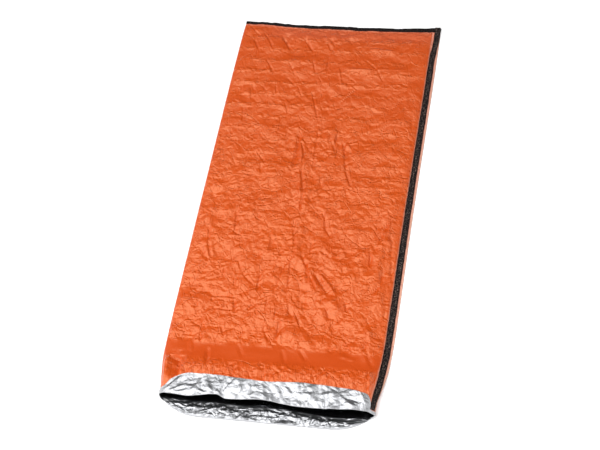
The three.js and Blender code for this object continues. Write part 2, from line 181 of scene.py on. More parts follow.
UPPER_LIP = table("x lip raw lift", (
    (-400, -942, -902, -2),
    (-385, -944, -886, -1),
    (-346, -946, -860, 0),
    (-300, -947, -848, 1),
    (-190, -932, -848, 5),
    (-150, -944, -852, -2),
    (-10, -937, -858, 1),
    (128, -950, -851, -2),
    (271, -948, -856, 0),
    (340, -943, -862, 0),
    (380, -941, -876, -1),
    (400, -940, -890, -2),
))

BINDING_DEPTH = table("x depth", (
    (-460, 17), (-300, 16), (-220, 19), (0, 21), (200, 21), (330, 23), (460, 25),
))

# Main folds of the upper layer, each a soft ridge, or a trough where the height is negative
FOLDS = table("x0 y0 x1 y1 height width", (
    (-90, 400, -22, 20, 5, 24),
    (-118, 330, -80, 100, -4, 24),
    (52, 390, 158, 110, 5, 26),
    (100, 400, 108, 210, -4, 22),
    (-6, 60, -6, -290, 4.5, 24),
    (-10, -270, -62, -450, 4.5, 24),
    (26, -275, 190, -480, 6.5, 28),
    (24, -320, 96, -560, -4, 26),
    (372, 60, 352, -160, 6, 26),
    (318, -170, 366, -420, 5, 26),
    (338, -40, 322, -300, -4, 22),
    (352, -600, 356, -700, 5, 24),
    (-384, -140, -352, -340, 4, 26),
    (-316, -570, -318, -690, 4, 26),
    (-392, 920, -352, 830, -4, 24),
    (-250, 915, -206, 830, -4.5, 26),
    (-150, 905, -104, 835, -3.5, 24),
    (120, 872, 260, 860, 4, 30),
    (-400, 770, -80, 762, 2.5, 34),
    (70, 740, 330, 728, 4, 34),
    (-400, 250, -140, 240, -2, 34),
    (180, 270, 390, 262, 3, 34),
    (-400, -60, -120, -66, 3, 34),
    (130, -168, 300, -176, -3, 34),
    (-420, -462, -200, -470, -3, 34),
    (-400, -648, 330, -640, 3, 30),
    (-330, -812, 330, -806, 4, 30),
))

SWELLS = table("height across along shift", (
    (1.1, 310, 205, 0.4),
    (0.9, -240, 330, 2.1),
    (0.7, 520, -150, 4.0),
))


def read(rows, key, at):
    """Smooth value of a table's column at places along its first column."""
    xs = next(iter(rows.values()))
    ys = rows[key]
    if xs[0] > xs[-1]:
        xs = xs[::-1]
        ys = ys[::-1]
    at = np.clip(at, xs[0], xs[-1])
    k = np.clip(np.searchsorted(xs, at, side="right") - 1, 0, len(xs) - 2)
    slope = np.zeros(len(xs))
    slope[1:-1] = (ys[2:] - ys[:-2]) / (xs[2:] - xs[:-2])
    span = xs[k + 1] - xs[k]
    t = (at - xs[k]) / span
    bound = 3 * np.abs(ys[k + 1] - ys[k])
    a = np.clip(slope[k] * span, -bound, bound)
    b = np.clip(slope[k + 1] * span, -bound, bound)
    t2 = t * t
    t3 = t2 * t
    from_start = ys[k] * (2 * t3 - 3 * t2 + 1) + a * (t3 - 2 * t2 + t)
    return from_start + ys[k + 1] * (3 * t2 - 2 * t3) + b * (t3 - t2)


def lerp(a, b, t):
    """Straight mix of two values."""
    return a + (b - a) * t


def ease(value, low, high):
    """Smooth step from 0 at low to 1 at high."""
    t = np.clip((value - low) / (high - low), 0, 1)
    return t * t * (3 - 2 * t)


def section(y):
    """All sizes of the sack's cross-section at places along its length."""
    floor = read(CROWN, "floor", y)
    side = {key: read(BONDED_SIDE, key, y) for key in BONDED_SIDE if key != "y"}
    fold = {key: read(LEFT_FOLD, key, y) for key in LEFT_FOLD if key != "y"}
    return {
        "y": y,
        "floor": floor,
        "left": fold["x"],
        "left_height": floor + fold["height"],
        "under": fold["under"],
        "over": fold["over"],
        "height": read(CROWN, "height", y),
        "run": read(CROWN, "run", y),
        "heel": side["heel"],
        "edge": side["edge"],
        "edge_low": floor + side["edge_lift"],
        "shoulder": side["shoulder"],
        "shoulder_height": floor + PAIR + side["shoulder_lift"],
    }


def main_relief(x, y):
    """Height of the main folds and the broad swells of the upper layer."""
    total = np.zeros_like(x)
    for x0, y0, x1, y1, height, width in each(FOLDS):
        dx = x1 - x0
        dy = y1 - y0
        t = np.clip(((x - x0) * dx + (y - y0) * dy) / (dx * dx + dy * dy), 0, 1)
        away = np.hypot(x - x0 - t * dx, y - y0 - t * dy)
        total += height * np.exp(-((away / width) ** 2))
    for height, across, along, shift in each(SWELLS):
        total += height * np.sin(2 * np.pi * (x / across + y / along) + shift)
    return total


def top_height(x, at):
    """Height of the upper layer's outer face."""
    foot = ease(FOLDS_END_Y - at["y"], 0, FOLDS_END_RUN)
    lip_lift = read(UPPER_LIP, "lift", x) * ease(-at["y"], *LIP_LIFT_RUN)
    crest = at["height"] + lip_lift + main_relief(x, at["y"]) * foot
    past_fold = ease(x, at["left"] + 0.5 * at["over"], at["left"] + at["over"])
    rounded = lerp(at["height"], crest, past_fold)
    t = np.clip((at["shoulder"] - x) / at["run"], 0, 1)
    return at["shoulder_height"] + (rounded - at["shoulder_height"]) * np.sqrt(1 - (1 - t) ** 2)


def bowed(x, y):
    """Moves a point near the foot with the bow of the foot edge."""
    return y + read(FOOT_BOW, "back", x) * ease(y, *BOW_RUN)


# Columns of the sheet round the girth, from the bonded edge of the lower layer, along the floor
# to the left fold, and back over the top to the bonded edge of the upper layer: each group's
# name and the places of its columns, where 0 is the group's start and 1 its end
GIRTH = (
    ("margin_low", np.linspace(0, 0.75, 3)),
    ("under", np.linspace(0, 1, 81)),
    ("fold_low", np.linspace(0.25, 1, 4)),
    ("fold_high", np.linspace(0.125, 0.875, 7)),
    ("over", np.linspace(0, 1, 140)),
    ("shoulder", np.linspace(0.125, 1, 8)),
    ("margin_high", np.array((0.3, 0.55, 0.72, 0.84, 1.0))),
)
GROUP = np.concatenate([[name] * len(places) for name, places in GIRTH])
PLACE = np.concatenate([places for _, places in GIRTH])
COLUMNS = len(GROUP)
UNDER = GROUP == "under"
UNDER_ENDS = np.flatnonzero(UNDER)[[0, -1]]
OVER_ENDS = np.flatnonzero(GROUP == "over")[[0, -1]]
LOWER_LAYER = np.isin(GROUP, ("under", "margin_low"))
UPPER_LAYER = np.isin(GROUP, ("fold_high", "over", "shoulder"))
MIDDLE = COLUMNS // 2  # a column near the middle of the upper layer

MARGIN_DROP = 1.4  # how far the upper film drops beyond the side tape
MARGIN_STEP = 0.8  # how far the upper film's cut edge lies inside the lower one's
FILM_SEAT = 0.45  # height of the film's outer face over what it lies on


def sack(y):
    """Points of the smooth sack, x and z, for an array of places with one column for each of the
    sheet's."""
    at = section(y)
    x = np.zeros_like(y)
    z = np.zeros_like(y)
    level = np.minimum(at["shoulder"] - at["run"], at["shoulder"] - LEAST_RUN)
    for name, places in GIRTH:
        mine = GROUP == name
        t = places[None, :]
        here = {key: value[:, mine] for key, value in at.items()}
        left = here["left"]
        floor = here["floor"] + FILM_SEAT
        if name == "margin_low":
            x[:, mine] = lerp(here["edge"], here["heel"], t)
            z[:, mine] = lerp(here["edge_low"] + FILM_SEAT, floor, t)
        elif name == "under":
            x[:, mine] = lerp(here["heel"], left + here["under"], t)
            z[:, mine] = floor
        elif name == "fold_low":
            angle = t * np.pi / 2
            x[:, mine] = left + here["under"] * (1 - np.sin(angle))
            z[:, mine] = floor + (here["left_height"] - floor) * (1 - np.cos(angle))
        elif name == "fold_high":
            angle = t * np.pi / 2
            crest = top_height(left + here["over"], here)
            x[:, mine] = left + here["over"] * (1 - np.cos(angle))
            z[:, mine] = here["left_height"] + (crest - here["left_height"]) * np.sin(angle)
        elif name == "over":
            x[:, mine] = lerp(left + here["over"], level[:, mine], t)
            z[:, mine] = top_height(x[:, mine], here)
        elif name == "shoulder":
            x[:, mine] = lerp(level[:, mine], here["shoulder"], np.sin(t * np.pi / 2))
            z[:, mine] = top_height(x[:, mine], here)
        else:
            drop = MARGIN_DROP * ease(t, 0.7, 1.0)
            edge = here["edge"] - MARGIN_STEP
            x[:, mine] = lerp(here["shoulder"], edge, t)
            z[:, mine] = lerp(here["shoulder_height"], here["edge_low"] + PAIR, t) - drop
    return x, z


def lip_corner(x):
    """0 along the lower lip's straight stretch, rising evenly to 1 at the ends of its corners."""
    return np.clip((np.abs(x) - LIP_STRAIGHT) / LIP_CORNER, 0, None)


def lower_lip(x):
    """Place of the lower lip along the bag."""
    return lerp(LIP_Y, LIP_SIDE_Y, np.minimum(1, lip_corner(x) ** LIP_CURVE))


def mouth_lines():
    """For each column, where it meets the lip and the raw edge of the cuff."""
    x = sack(np.full((1, COLUMNS), LIP_SIDE_Y))[0][0]
    corner = lip_corner(x)
    low_lip = lower_lip(x)
    low_raw = low_lip + UNDER_CUFF * (1 - corner) + SIDE_CUFF * corner
    lip = np.where(UNDER, low_lip, read(UPPER_LIP, "lip", x))
    raw = np.where(UNDER, low_raw, read(UPPER_LIP, "raw", x))
    left = np.array((LIP_SIDE_Y, LIP_SIDE_Y + SIDE_CUFF))
    seam = np.array((LIP_SIDE_Y, LIP_SIDE_Y + SEAM_CUFF))
    low_right, low_left = (np.array((lip[k], raw[k])) for k in UNDER_ENDS)
    high_left, high_right = (np.array((lip[k], raw[k])) for k in OVER_ENDS)
    for name, start, end, power in (
        ("margin_low", seam, low_right, 1),
        ("fold_low", low_left, left, 1),
        ("fold_high", left, high_left, 3),
        ("shoulder", high_right, seam, 2.5),
        ("margin_high", seam, seam, 1),
    ):
        mine = GROUP == name
        t = PLACE[mine] ** power
        lip[mine] = lerp(start[0], end[0], t)
        raw[mine] = lerp(start[1], end[1], t)
    return lip, raw


# Small creases of the film: listed ones first, then seeded ones by zone

# Each crease runs from one point to the next. Its height falls off straight to nothing over one
# width on its left, seen along its run, and another on its right: a narrow side makes a hard
# line, and a broad one a flat facet.
CREASES = table("x0 y0 x1 y1 height left right", (
    # beside the foot binding and down the far left
    (-432, 985, -400, 940, -2.6, 12, 9),
    (-400, 940, -372, 915, -2.0, 12, 8),
    (-394, 888, -364, 832, -3.4, 18, 8),
    (-364, 832, -372, 780, -2.0, 12, 8),
    (-354, 932, -324, 888, -2.2, 14, 8),
    (-322, 888, -296, 838, -3.4, 18, 8),
    (-264, 918, -238, 878, -3.0, 16, 8),
    (-250, 900, -216, 838, -3.6, 20, 9),
    (-158, 908, -108, 838, -3.6, 20, 9),
    (-48, 892, -24, 842, -2.8, 16, 8),
    (-36, 918, -18, 880, -2.2, 12, 8),
    (-312, 774, -268, 700, -2.6, 16, 8),
    (-206, 762, -168, 694, -2.2, 16, 8),
    (-98, 778, -74, 704, -2.6, 14, 8),
    (-32, 828, -24, 704, -2.0, 12, 8),
    (-202, 678, -158, 634, -1.8, 14, 8),
    (-242, 628, -234, 584, -2.2, 12, 8),
    (-402, 628, -394, 574, -1.8, 12, 8),
    (-352, 638, -338, 592, -1.6, 12, 8),
    (-302, 628, -288, 594, -1.8, 12, 8),
    (-72, 598, -18, 434, -2.4, 14, 7),
    (-142, 628, -118, 574, -1.8, 12, 8),
    (-370, 508, -358, 416, -1.8, 12, 8),
    (-182, 528, -162, 474, -2.0, 12, 8),
    # far right
    (28, 740, 52, 654, 2.4, 8, 14),
    (134, 792, 164, 776, -1.8, 10, 8),
    (156, 778, 202, 736, -2.2, 12, 7),
    (202, 736, 234, 674, -2.4, 14, 7),
    (124, 634, 66, 544, -2.4, 14, 7),
    (344, 600, 290, 516, -2.2, 14, 7),
    (388, 500, 396, 420, -2.2, 12, 7),
    (292, 436, 262, 384, -1.8, 12, 8),
    (418, 920, 404, 852, -2.2, 12, 8),
    (60, 400, 96, 384, -1.6, 12, 8),
    # centre band
    (-90, 380, -88, 186, -5.0, 20, 14),
    (-74, 326, -46, 236, -2.8, 12, 7),
    (-62, 286, -52, 166, 3.0, 8, 12),
    (-56, 196, -20, 56, -3.6, 16, 8),
    (-20, 56, -24, -26, -2.8, 12, 8),
    (-42, 100, -30, 34, 2.4, 8, 12),
    (-8, 380, -2, 190, -2.4, 12, 9),
    (46, 380, 46, 326, -2.4, 12, 8),
    (80, 376, 76, 266, -4.4, 18, 12),
    (96, 336, 90, 246, -3.4, 14, 10),
    (112, 326, 132, 236, -3.6, 14, 8),
    (132, 236, 142, 186, -3.2, 14, 8),
    (142, 186, 178, 96, -2.8, 14, 8),
    (126, 330, 150, 290, 2.6, 8, 12),
    (58, 336, 76, 286, -2.2, 12, 8),
    (40, 150, 46, 96, -1.8, 12, 8),
    (8, 40, 26, 4, -2.0, 12, 8),
    (76, -38, 94, -66, -2.6, 12, 8),
    (94, -66, 102, -126, -3.2, 16, 8),
    (102, -116, 132, -156, -2.2, 12, 8),
    (62, -60, 70, -42, -1.8, 10, 8),
    # star below the middle
    (-34, -84, -32, -124, -2.4, 12, 8),
    (-32, -124, -10, -214, -3.4, 14, 8),
    (-10, -214, -10, -254, -2.6, 12, 8),
    (-6, -254, -36, -306, -2.8, 12, 8),
    (-38, -300, -62, -426, -4.0, 10, 16),
    (-12, -290, -6, -416, -2.6, 12, 8),
    (60, -184, 56, -244, -2.6, 12, 8),
    (22, -246, 62, -316, -3.6, 12, 12),
    (52, -296, 72, -386, -3.6, 12, 12),
    (66, -334, 112, -416, -4.4, 12, 18),
    (92, -334, 172, -436, -5.6, 14, 22),
    (120, -340, 196, -436, 3.6, 16, 10),
    (100, -228, 152, -260, -3.2, 14, 9),
    (152, -260, 204, -264, -2.8, 14, 9),
    # left half, from the middle down
    (-240, 232, -218, 208, -2.0, 12, 8),
    (-232, 188, -222, 144, -2.2, 12, 8),
    (-288, -52, -276, -164, -2.8, 14, 8),
    (-190, -62, -196, -86, -2.2, 12, 8),
    (-392, -142, -380, -214, -3.2, 14, 8),
    (-380, -214, -354, -296, -3.4, 14, 8),
    (-282, -166, -248, -172, -2.4, 12, 8),
    (-148, -252, -172, -286, -2.6, 12, 9),
    (-114, -172, -112, -256, -2.8, 18, 12),
    (-366, -284, -366, -334, -2.2, 12, 8),
    (-406, -358, -402, -406, -2.0, 12, 8),
    (-286, -334, -284, -386, -2.2, 12, 8),
    (-236, -294, -214, -346, -2.2, 12, 8),
    (-224, -372, -234, -416, -2.6, 12, 8),
    (-118, -326, -134, -346, -2.4, 12, 8),
    (-134, -346, -130, -436, -3.4, 14, 9),
    (-202, -364, -150, -406, -2.4, 12, 9),
    (-332, -472, -212, -472, -2.8, 14, 8),
    (-214, -484, -206, -540, -3.0, 14, 8),
    (-292, -534, -212, -534, -2.4, 12, 9),
    (-360, -504, -372, -540, -2.2, 12, 8),
    (-312, -474, -304, -506, -2.0, 10, 8),
    (-120, -492, -152, -526, -2.6, 12, 8),
    (-76, -472, -78, -526, -2.4, 12, 8),
    (-30, -504, -36, -566, -2.6, 12, 8),
    (-316, -602, -322, -646, -3.2, 14, 8),
    (-322, -646, -312, -696, -3.2, 14, 8),
    (-242, -612, -224, -660, -2.6, 12, 8),
    (-148, -622, -162, -656, -2.4, 12, 8),
    (-392, -660, -338, -664, -2.2, 10, 8),
    (-302, -666, -202, -666, -2.2, 10, 8),
    (-152, -666, -58, -666, -2.2, 10, 8),
    (-72, -604, -30, -682, -2.4, 14, 9),
    (-8, -564, -14, -666, -2.6, 12, 8),
    # right half, from the middle down
    (378, 58, 364, 26, -2.8, 14, 8),
    (356, -12, 368, -40, -3.0, 14, 8),
    (368, -50, 344, -116, -5.0, 18, 10),
    (344, -116, 334, -166, -3.8, 16, 10),
    (306, -212, 314, -286, -3.4, 14, 8),
    (360, -172, 366, -256, -3.2, 14, 8),
    (376, -92, 380, -156, -3.4, 14, 9),
    (386, -142, 396, -246, -3.8, 14, 8),
    (396, -246, 408, -316, -3.4, 12, 8),
    (366, -292, 372, -352, -3.4, 14, 8),
    (372, -352, 344, -410, -3.8, 16, 9),
    (402, -292, 414, -350, -2.8, 10, 8),
    (396, -414, 406, -526, -2.6, 10, 7),
    (380, 198, 392, 156, -2.0, 10, 8),
    (240, -462, 252, -506, -3.0, 14, 8),
    (232, -530, 220, -556, -2.6, 12, 8),
    (74, -462, 70, -510, -2.8, 12, 9),
    (164, -492, 186, -546, -3.0, 14, 8),
    (40, -514, 76, -586, -3.2, 14, 8),
    (10, -482, 22, -536, -2.6, 12, 8),
    (352, -620, 344, -676, -4.2, 20, 14),
    (362, -612, 412, -604, -3.0, 14, 9),
    (300, -628, 250, -664, -2.4, 12, 9),
    # gussets beside the mouth
    (-425, -772, -378, -732, 4, 10, 14),
    (-440, -752, -412, -900, 8, 30, 7),
    (-380, -744, -368, -852, -9, 9, 52),
    (-374, -748, -446, -756, -5, 90, 16),
    (372, -770, 384, -868, 2.5, 8, 22),
    (384, -756, 396, -884, 6, 26, 6),
    (408, -770, 412, -880, -4, 14, 8),
    # flat facets at the far right that face the light
    (155, 862, 262, 850, 4.5, 10, 40),
    (60, 738, 182, 732, 4.5, 8, 50),
))

# Long transverse ridges left by packing: place along the length, from and to across the width
PACKING_RIDGES = table("y x0 x1 height", (
    (902, 120, 170, 2.0), (878, 60, 170, 2.2), (838, -300, -262, 1.6), (768, -392, -98, 2.0),
    (736, 56, 330, 2.6), (702, -430, -120, 1.8), (640, -400, -60, 1.8), (634, 60, 350, 2.2),
    (586, 160, 200, 2.4), (576, -400, -240, 2.0), (510, -390, -180, 2.2), (508, 230, 270, 2.2),
    (446, -240, -196, 2.0), (440, 200, 250, 2.4), (436, 300, 340, 2.0), (388, -380, -190, 2.4),
    (262, -330, -150, 2.2), (202, -350, -240, 2.2), (204, 270, 384, 2.6), (148, 215, 350, 2.4),
    (146, -400, -130, 2.2), (104, -240, -150, 2.6), (92, 60, 350, 2.4), (90, -300, -230, 2.0),
    (40, -350, -250, 2.6), (28, -190, -100, 2.2), (-22, 150, 260, 2.4), (-64, -292, -80, 4.0),
    (-118, 130, 300, 2.6), (-120, -92, -40, 2.2), (-178, -290, -180, 4.0), (-212, 150, 260, 2.6),
    (-246, 120, 280, 2.4), (-258, -132, -96, 2.6), (-300, 60, 300, 2.0), (-414, -400, -300, 2.0),
    (-476, -330, -210, 2.6), (-540, -290, -210, 2.2), (-606, -400, -40, 2.6), (-660, 250, 330, 3.0),
    (-668, -400, 250, 2.0),
))

RIDGE_PIECE = 62  # usual length of one piece of such a ridge

# The few soft creases that cross the stretched band
BAND_CREASES = table("x0 y0 x1 y1 height left right", (
    (-272, -720, -258, -806, -5.0, 12, 16),
    (-150, -702, -128, -748, -2.4, 12, 14),
    (24, -700, 48, -766, -2.6, 12, 14),
    (90, -690, 128, -742, -3.0, 14, 12),
    (356, -680, 392, -748, -3.4, 14, 14),
    (250, -706, 318, -724, 2.2, 14, 10),
    (-352, -690, -338, -740, 2.4, 10, 16),
))

# Folds of the lower layer's inner face in the mouth, from the left corner to the right
MOUTH_CREASES = table("x0 y0 x1 y1 height left right", (
    (-424, -948, -330, -968, 5, 9, 12),
    (-424, -952, -345, -990, 5, 10, 8),
    (-420, -958, -372, -1000, 4, 8, 9),
    (-410, -940, -300, -945, 4, 12, 12),
    (-300, -975, -190, -968, 6, 14, 10),
    (-262, -996, -176, -968, 5, 10, 12),
    (-190, -975, -150, -945, 5, 10, 10),
    (-160, -985, -40, -978, 5, 14, 9),
    (-110, -958, 20, -966, 6, 12, 16),
    (-50, -992, 70, -985, 5, 12, 8),
    (10, -962, 150, -985, 6, 10, 14),
    (110, -955, 230, -990, 5, 9, 12),
    (160, -990, 300, -984, 5, 12, 8),
    (210, -950, 290, -985, 5, 9, 10),
    (250, -965, 350, -925, 6, 12, 9),
    (300, -990, 380, -950, 5, 9, 12),
    (330, -960, 400, -925, 6, 12, 9),
))

# Folds across the turned-out cuff, fanned at its left corner
CUFF_FOLDS = table("x0 y0 x1 y1 height left right", (
    (-402, -940, -345, -866, 3.0, 8, 14),
    (-392, -944, -318, -900, 3.0, 8, 14),
    (-380, -946, -290, -925, 2.4, 8, 12),
    (-316, -902, -262, -884, -3.2, 12, 12),
    (-292, -940, -262, -866, 3.4, 12, 16),
    (-262, -908, -236, -926, -2.6, 12, 10),
    (-240, -872, -214, -930, 2.6, 14, 14),
    (-178, -928, -160, -890, -4.8, 9, 9),
    (-152, -884, -138, -860, -2.4, 8, 8),
    (-110, -870, -96, -925, 2.6, 14, 12),
    (-62, -922, -50, -900, -2.6, 9, 9),
    (-20, -865, -6, -925, 2.4, 14, 14),
    (30, -872, 60, -915, 2.6, 12, 16),
    (80, -868, 108, -896, -2.8, 10, 10),
    (117, -888, 178, -884, -3.2, 8, 12),
    (180, -886, 172, -930, 3.0, 16, 10),
    (215, -900, 262, -884, 2.4, 12, 12),
    (292, -896, 352, -936, 3.6, 10, 18),
    (318, -902, 378, -906, -3.2, 9, 12),
    (372, -880, 396, -925, 2.6, 12, 10),
))

# Small facets of the crumpled film, by zone along its length: the usual spacing of their corners
# across and along the bag, and how far broad and fine corners rise or sink
FACET_ZONES = table("low high across along broad fine", (
    (900, 985, 22, 22, 3.0, 1.4),
    (640, 900, 42, 21, 3.0, 1.2),
    (370, 640, 38, 21, 3.6, 1.6),
    (120, 370, 32, 24, 4.4, 2.1),
    (-220, 120, 32, 25, 4.6, 2.1),
    (-500, -220, 28, 26, 5.2, 2.0),
    (-685, -500, 27, 25, 5.4, 2.1),
    (-772, -685, 90, 44, 0.6, 0.3),
    (-860, -772, 15, 26, 3.6, 2.2),
    (-960, -860, 30, 30, 1.4, 0.8),
))
MOUTH_ZONES = table("low high across along broad fine", ((-1030, -780, 46, 20, 5.0, 2.6),))
CUFF_ZONES = table("low high across along broad fine", ((-1040, -820, 26, 20, 2.6, 1.1),))

# The lower layer before the mouth: two low rolls from the smooth inside (0) to the lip (1)
MOUTH_PROFILE = table("share height", (
    (-0.5, 0), (0, 0), (0.10, 2), (0.24, 0), (0.88, 13), (1.05, 10), (1.3, 6),
))

CREASE_HEIGHT = (1.9, 1.45)  # share of a placed crease's height near the mouth and at the foot
CREASE_WIDTH = (0.85, 0.6)  # share of its width
FAR_RUN = (380, 520)  # where the one share goes over into the other
PACKING_ROWS = (902.0, -680.0)  # first and last row across the bag left by packing
PACKING_SPAN = (-430.0, 390.0)
PACKING_PITCH = 64.0
PLEAT_SPAN = (-352, 372)
PLEAT_PITCH = 14
BAND = (-690.0, -772.0)  # smooth stretched band on the rise to the mouth
UPPER_SPAN = (-470, 430)  # across the bag, where the upper layer's facets lie
MOUTH_SPAN = (-470, 450)  # the same for the lower layer in the mouth
CUFF_SPAN = (-480, 480)  # and for the cuff
PATCH_PITCH = 110  # of the patches in which the fine crumple comes
RIDGE_SIDES = (20, 6)  # broad and hard side of a packing ridge
ROW_HARD_SIDE = 5.5
MOUTH_START = (936, 952)  # where the foil inside begins to crumple, at the left and the right
MOUTH_START_RUN = (60, 260)
INSIDE_RUN = (780, 860)  # stretch over which the mouth's folds die out inside
JITTER = 0.42  # share of a facet's spacing by which its corners wander
BEYOND = 200.0  # how far the flat rim round a field of facets reaches
ABOVE = 60.0  # higher than any facet


def facet_field(zones, span, rng, size, stretch):
    """A crumpled surface of flat triangles between random corners, as a tree to look heights up
    in. The size names the column of the corners' heights."""
    corners = []
    heights = []
    x0, x1 = span
    picked = [zones[key] for key in ("low", "high", "across", "along", size)]
    for low, high, across, along, height in zip(*picked):
        rows = max(1, round((high - low) / (along * stretch)))
        columns = round((x1 - x0) / (across * stretch))
        step = (high - low) / rows
        for i in range(rows):
            for j in range(columns + 1):
                shift = 0.5 * (i % 2)
                cx = x0 + (j + shift + rng.uniform(-JITTER, JITTER)) * (x1 - x0) / columns
                cy = low + (i + 0.5 + rng.uniform(-JITTER, JITTER)) * step
                corners.append((cx, cy))
                heights.append(height * rng.uniform(-1, 1))
    for cx in (x0 - BEYOND, x1 + BEYOND):
        for cy in (min(zones["low"]) - BEYOND, max(zones["high"]) + BEYOND):
            corners.append((cx, cy))
            heights.append(0.0)
    flat = [Vector(corner) for corner in corners]
    found, _, faces, origin, _, _ = delaunay_2d_cdt(flat, [], [], 0, 1e-6)
    raised = [(place.x, place.y, heights[source[0]]) for place, source in zip(found, origin)]
    return BVHTree.FromPolygons(raised, faces)


def field_height(tree, x, y, mask):
    """Heights of a crumpled surface at the places that the mask picks."""
    heights = np.zeros(x.size)
    down = Vector((0, 0, -1))
    picked = np.flatnonzero(mask.ravel())
    for k, px, py in zip(picked, x.ravel()[picked], y.ravel()[picked]):
        hit = tree.ray_cast(Vector((px, py, ABOVE)), down)[0]
        if hit is not None:
            heights[k] = hit.z
    return heights.reshape(x.shape)


def add_crease(total, x, y, x0, y0, x1, y1, height, left, right):
    """Adds one straight-sided crease to a height field. It starts and stops a little past its
    two ends, and rises towards its full height from there."""
    reach = max(left, right)
    near = (x > min(x0, x1) - reach) & (x < max(x0, x1) + reach)
    near &= (y > min(y0, y1) - reach) & (y < max(y0, y1) + reach)
    if not near.any():
        return
    dx = x1 - x0
    dy = y1 - y0
    length = math.hypot(dx, dy)
    px = x[near] - x0
    py = y[near] - y0
    along = (px * dx + py * dy) / length
    away = (px * dy - py * dx) / length
    width = np.where(away < 0, left, right)
    run_in = min(0.45 * length, 2.2 * reach)
    past = 0.3 * reach
    ends = np.clip(np.minimum(along + past, length + past - along) / run_in, 0, 1)
    total[near] += height * np.clip(1 - np.abs(away) / width, 0, 1) * ends * (2 - ends)


def lattice_noise(x, y, pitch, rng):
    """Smooth seeded noise from -1 to 1 with hills about as far apart as the pitch."""
    count = 64
    values = rng.uniform(-1, 1, (count, count))
    u = x / pitch + 1000
    v = y / pitch + 1000
    i = np.floor(u).astype(int)
    j = np.floor(v).astype(int)
    s = u - i
    t = v - j
    s = s * s * (3 - 2 * s)
    t = t * t * (3 - 2 * t)
    a = values[i % count, j % count]
    b = values[(i + 1) % count, j % count]
    c = values[i % count, (j + 1) % count]
    d = values[(i + 1) % count, (j + 1) % count]
    return lerp(lerp(a, b, s), lerp(c, d, s), t)


def add_placed_creases(total, x, y):
    """Adds the listed creases, lower and narrower towards the foot."""
    for x0, y0, x1, y1, height, left, right in each(CREASES):
        far = float(ease(np.array(0.5 * (y0 + y1)), *FAR_RUN))
        thin = lerp(*CREASE_WIDTH, far)
        tall = lerp(*CREASE_HEIGHT, far) * height
        add_crease(total, x, y, x0, y0, x1, y1, tall, left * thin, right * thin)


def add_packing_ridges(total, x, y, rng):
    """Adds the long ridges across the bag, each a chain of slightly bent pieces."""
    for ridge_y, x0, x1, height in each(PACKING_RIDGES):
        steps = max(1, round((x1 - x0) / RIDGE_PIECE))
        bends = ridge_y + rng.uniform(-3, 3, steps + 1)
        stops = np.linspace(x0, x1, steps + 1) + rng.uniform(-6, 6, steps + 1)
        for k in range(steps):
            tall = height * rng.uniform(0.6, 1.4)
            add_crease(total, x, y, stops[k], bends[k], stops[k + 1], bends[k + 1], tall, *RIDGE_SIDES)


def add_packing_rows(total, x, y, rng):
    """Adds the short broken creases on every row left by packing."""
    for row_y in np.arange(*PACKING_ROWS, -PACKING_PITCH):
        start = PACKING_SPAN[0]
        while start < PACKING_SPAN[1]:
            start += rng.uniform(8, 60)
            end = start + rng.uniform(18, 62)
            y0, y1 = row_y + rng.uniform(-7, 7, 2)
            height = rng.uniform(0.8, 2.2)
            add_crease(total, x, y, start, y0, end, y1, height, rng.uniform(9, 18), ROW_HARD_SIDE)
            start = end


def add_pleats(total, x, y, rng):
    """Adds the short pleats that run up from the cuff's raw edge."""
    for place in np.arange(*PLEAT_SPAN, PLEAT_PITCH):
        x0 = place + rng.uniform(-6, 6)
        y0 = read(UPPER_LIP, "raw", x0) + rng.uniform(0, 14)
        height = rng.choice((-1, 1)) * rng.uniform(1.6, 3.6)
        x1 = x0 + rng.uniform(-18, 18)
        y1 = y0 + rng.uniform(26, 54)
        left = rng.uniform(5, 13)
        right = rng.uniform(5, 9)
        add_crease(total, x, y, x0, y0, x1, y1, height, left, right)


def calm_band(y):
    """1 on the smooth stretched band before the mouth, and 0 away from it."""
    return ease(y, BAND[1] - 8, BAND[1] + 10) * (1 - ease(y, BAND[0] - 12, BAND[0] + 10))


def upper_creases(x, y, mask, seed):
    """Height of the placed and seeded creases over the upper layer. The fine crumple comes in
    patches and is strongest down the middle of the bag."""
    rng = np.random.default_rng(seed)
    total = np.zeros_like(x)
    add_placed_creases(total, x, y)
    add_packing_ridges(total, x, y, rng)
    add_packing_rows(total, x, y, rng)
    add_pleats(total, x, y, rng)
    broad = facet_field(FACET_ZONES, UPPER_SPAN, rng, "broad", 1.5)
    fine = facet_field(FACET_ZONES, UPPER_SPAN, rng, "fine", 0.72)
    patch = 0.45 + 0.75 * ease(lattice_noise(x, y, PATCH_PITCH, rng), -0.6, 0.6)
    middle = 1 + 0.7 * np.exp(-(((x - 5) / 55) ** 2)) * ease(y, -300, -100)
    total += field_height(broad, x, y, mask) * 0.9
    total += field_height(fine, x, y, mask) * patch * middle
    total *= 1 - 0.86 * calm_band(y)
    for crease in each(BAND_CREASES):
        add_crease(total, x, y, *crease)
    return total


def mouth_start(x):
    """Place along the bag where the smooth foil inside the mouth begins to crumple."""
    return -lerp(*MOUTH_START, ease(x, *MOUTH_START_RUN))


def mouth_front(x, y):
    """1 on the crumpled foil before the mouth, and 0 on the smooth foil inside it."""
    return ease(mouth_start(x) - y, 0, 30)


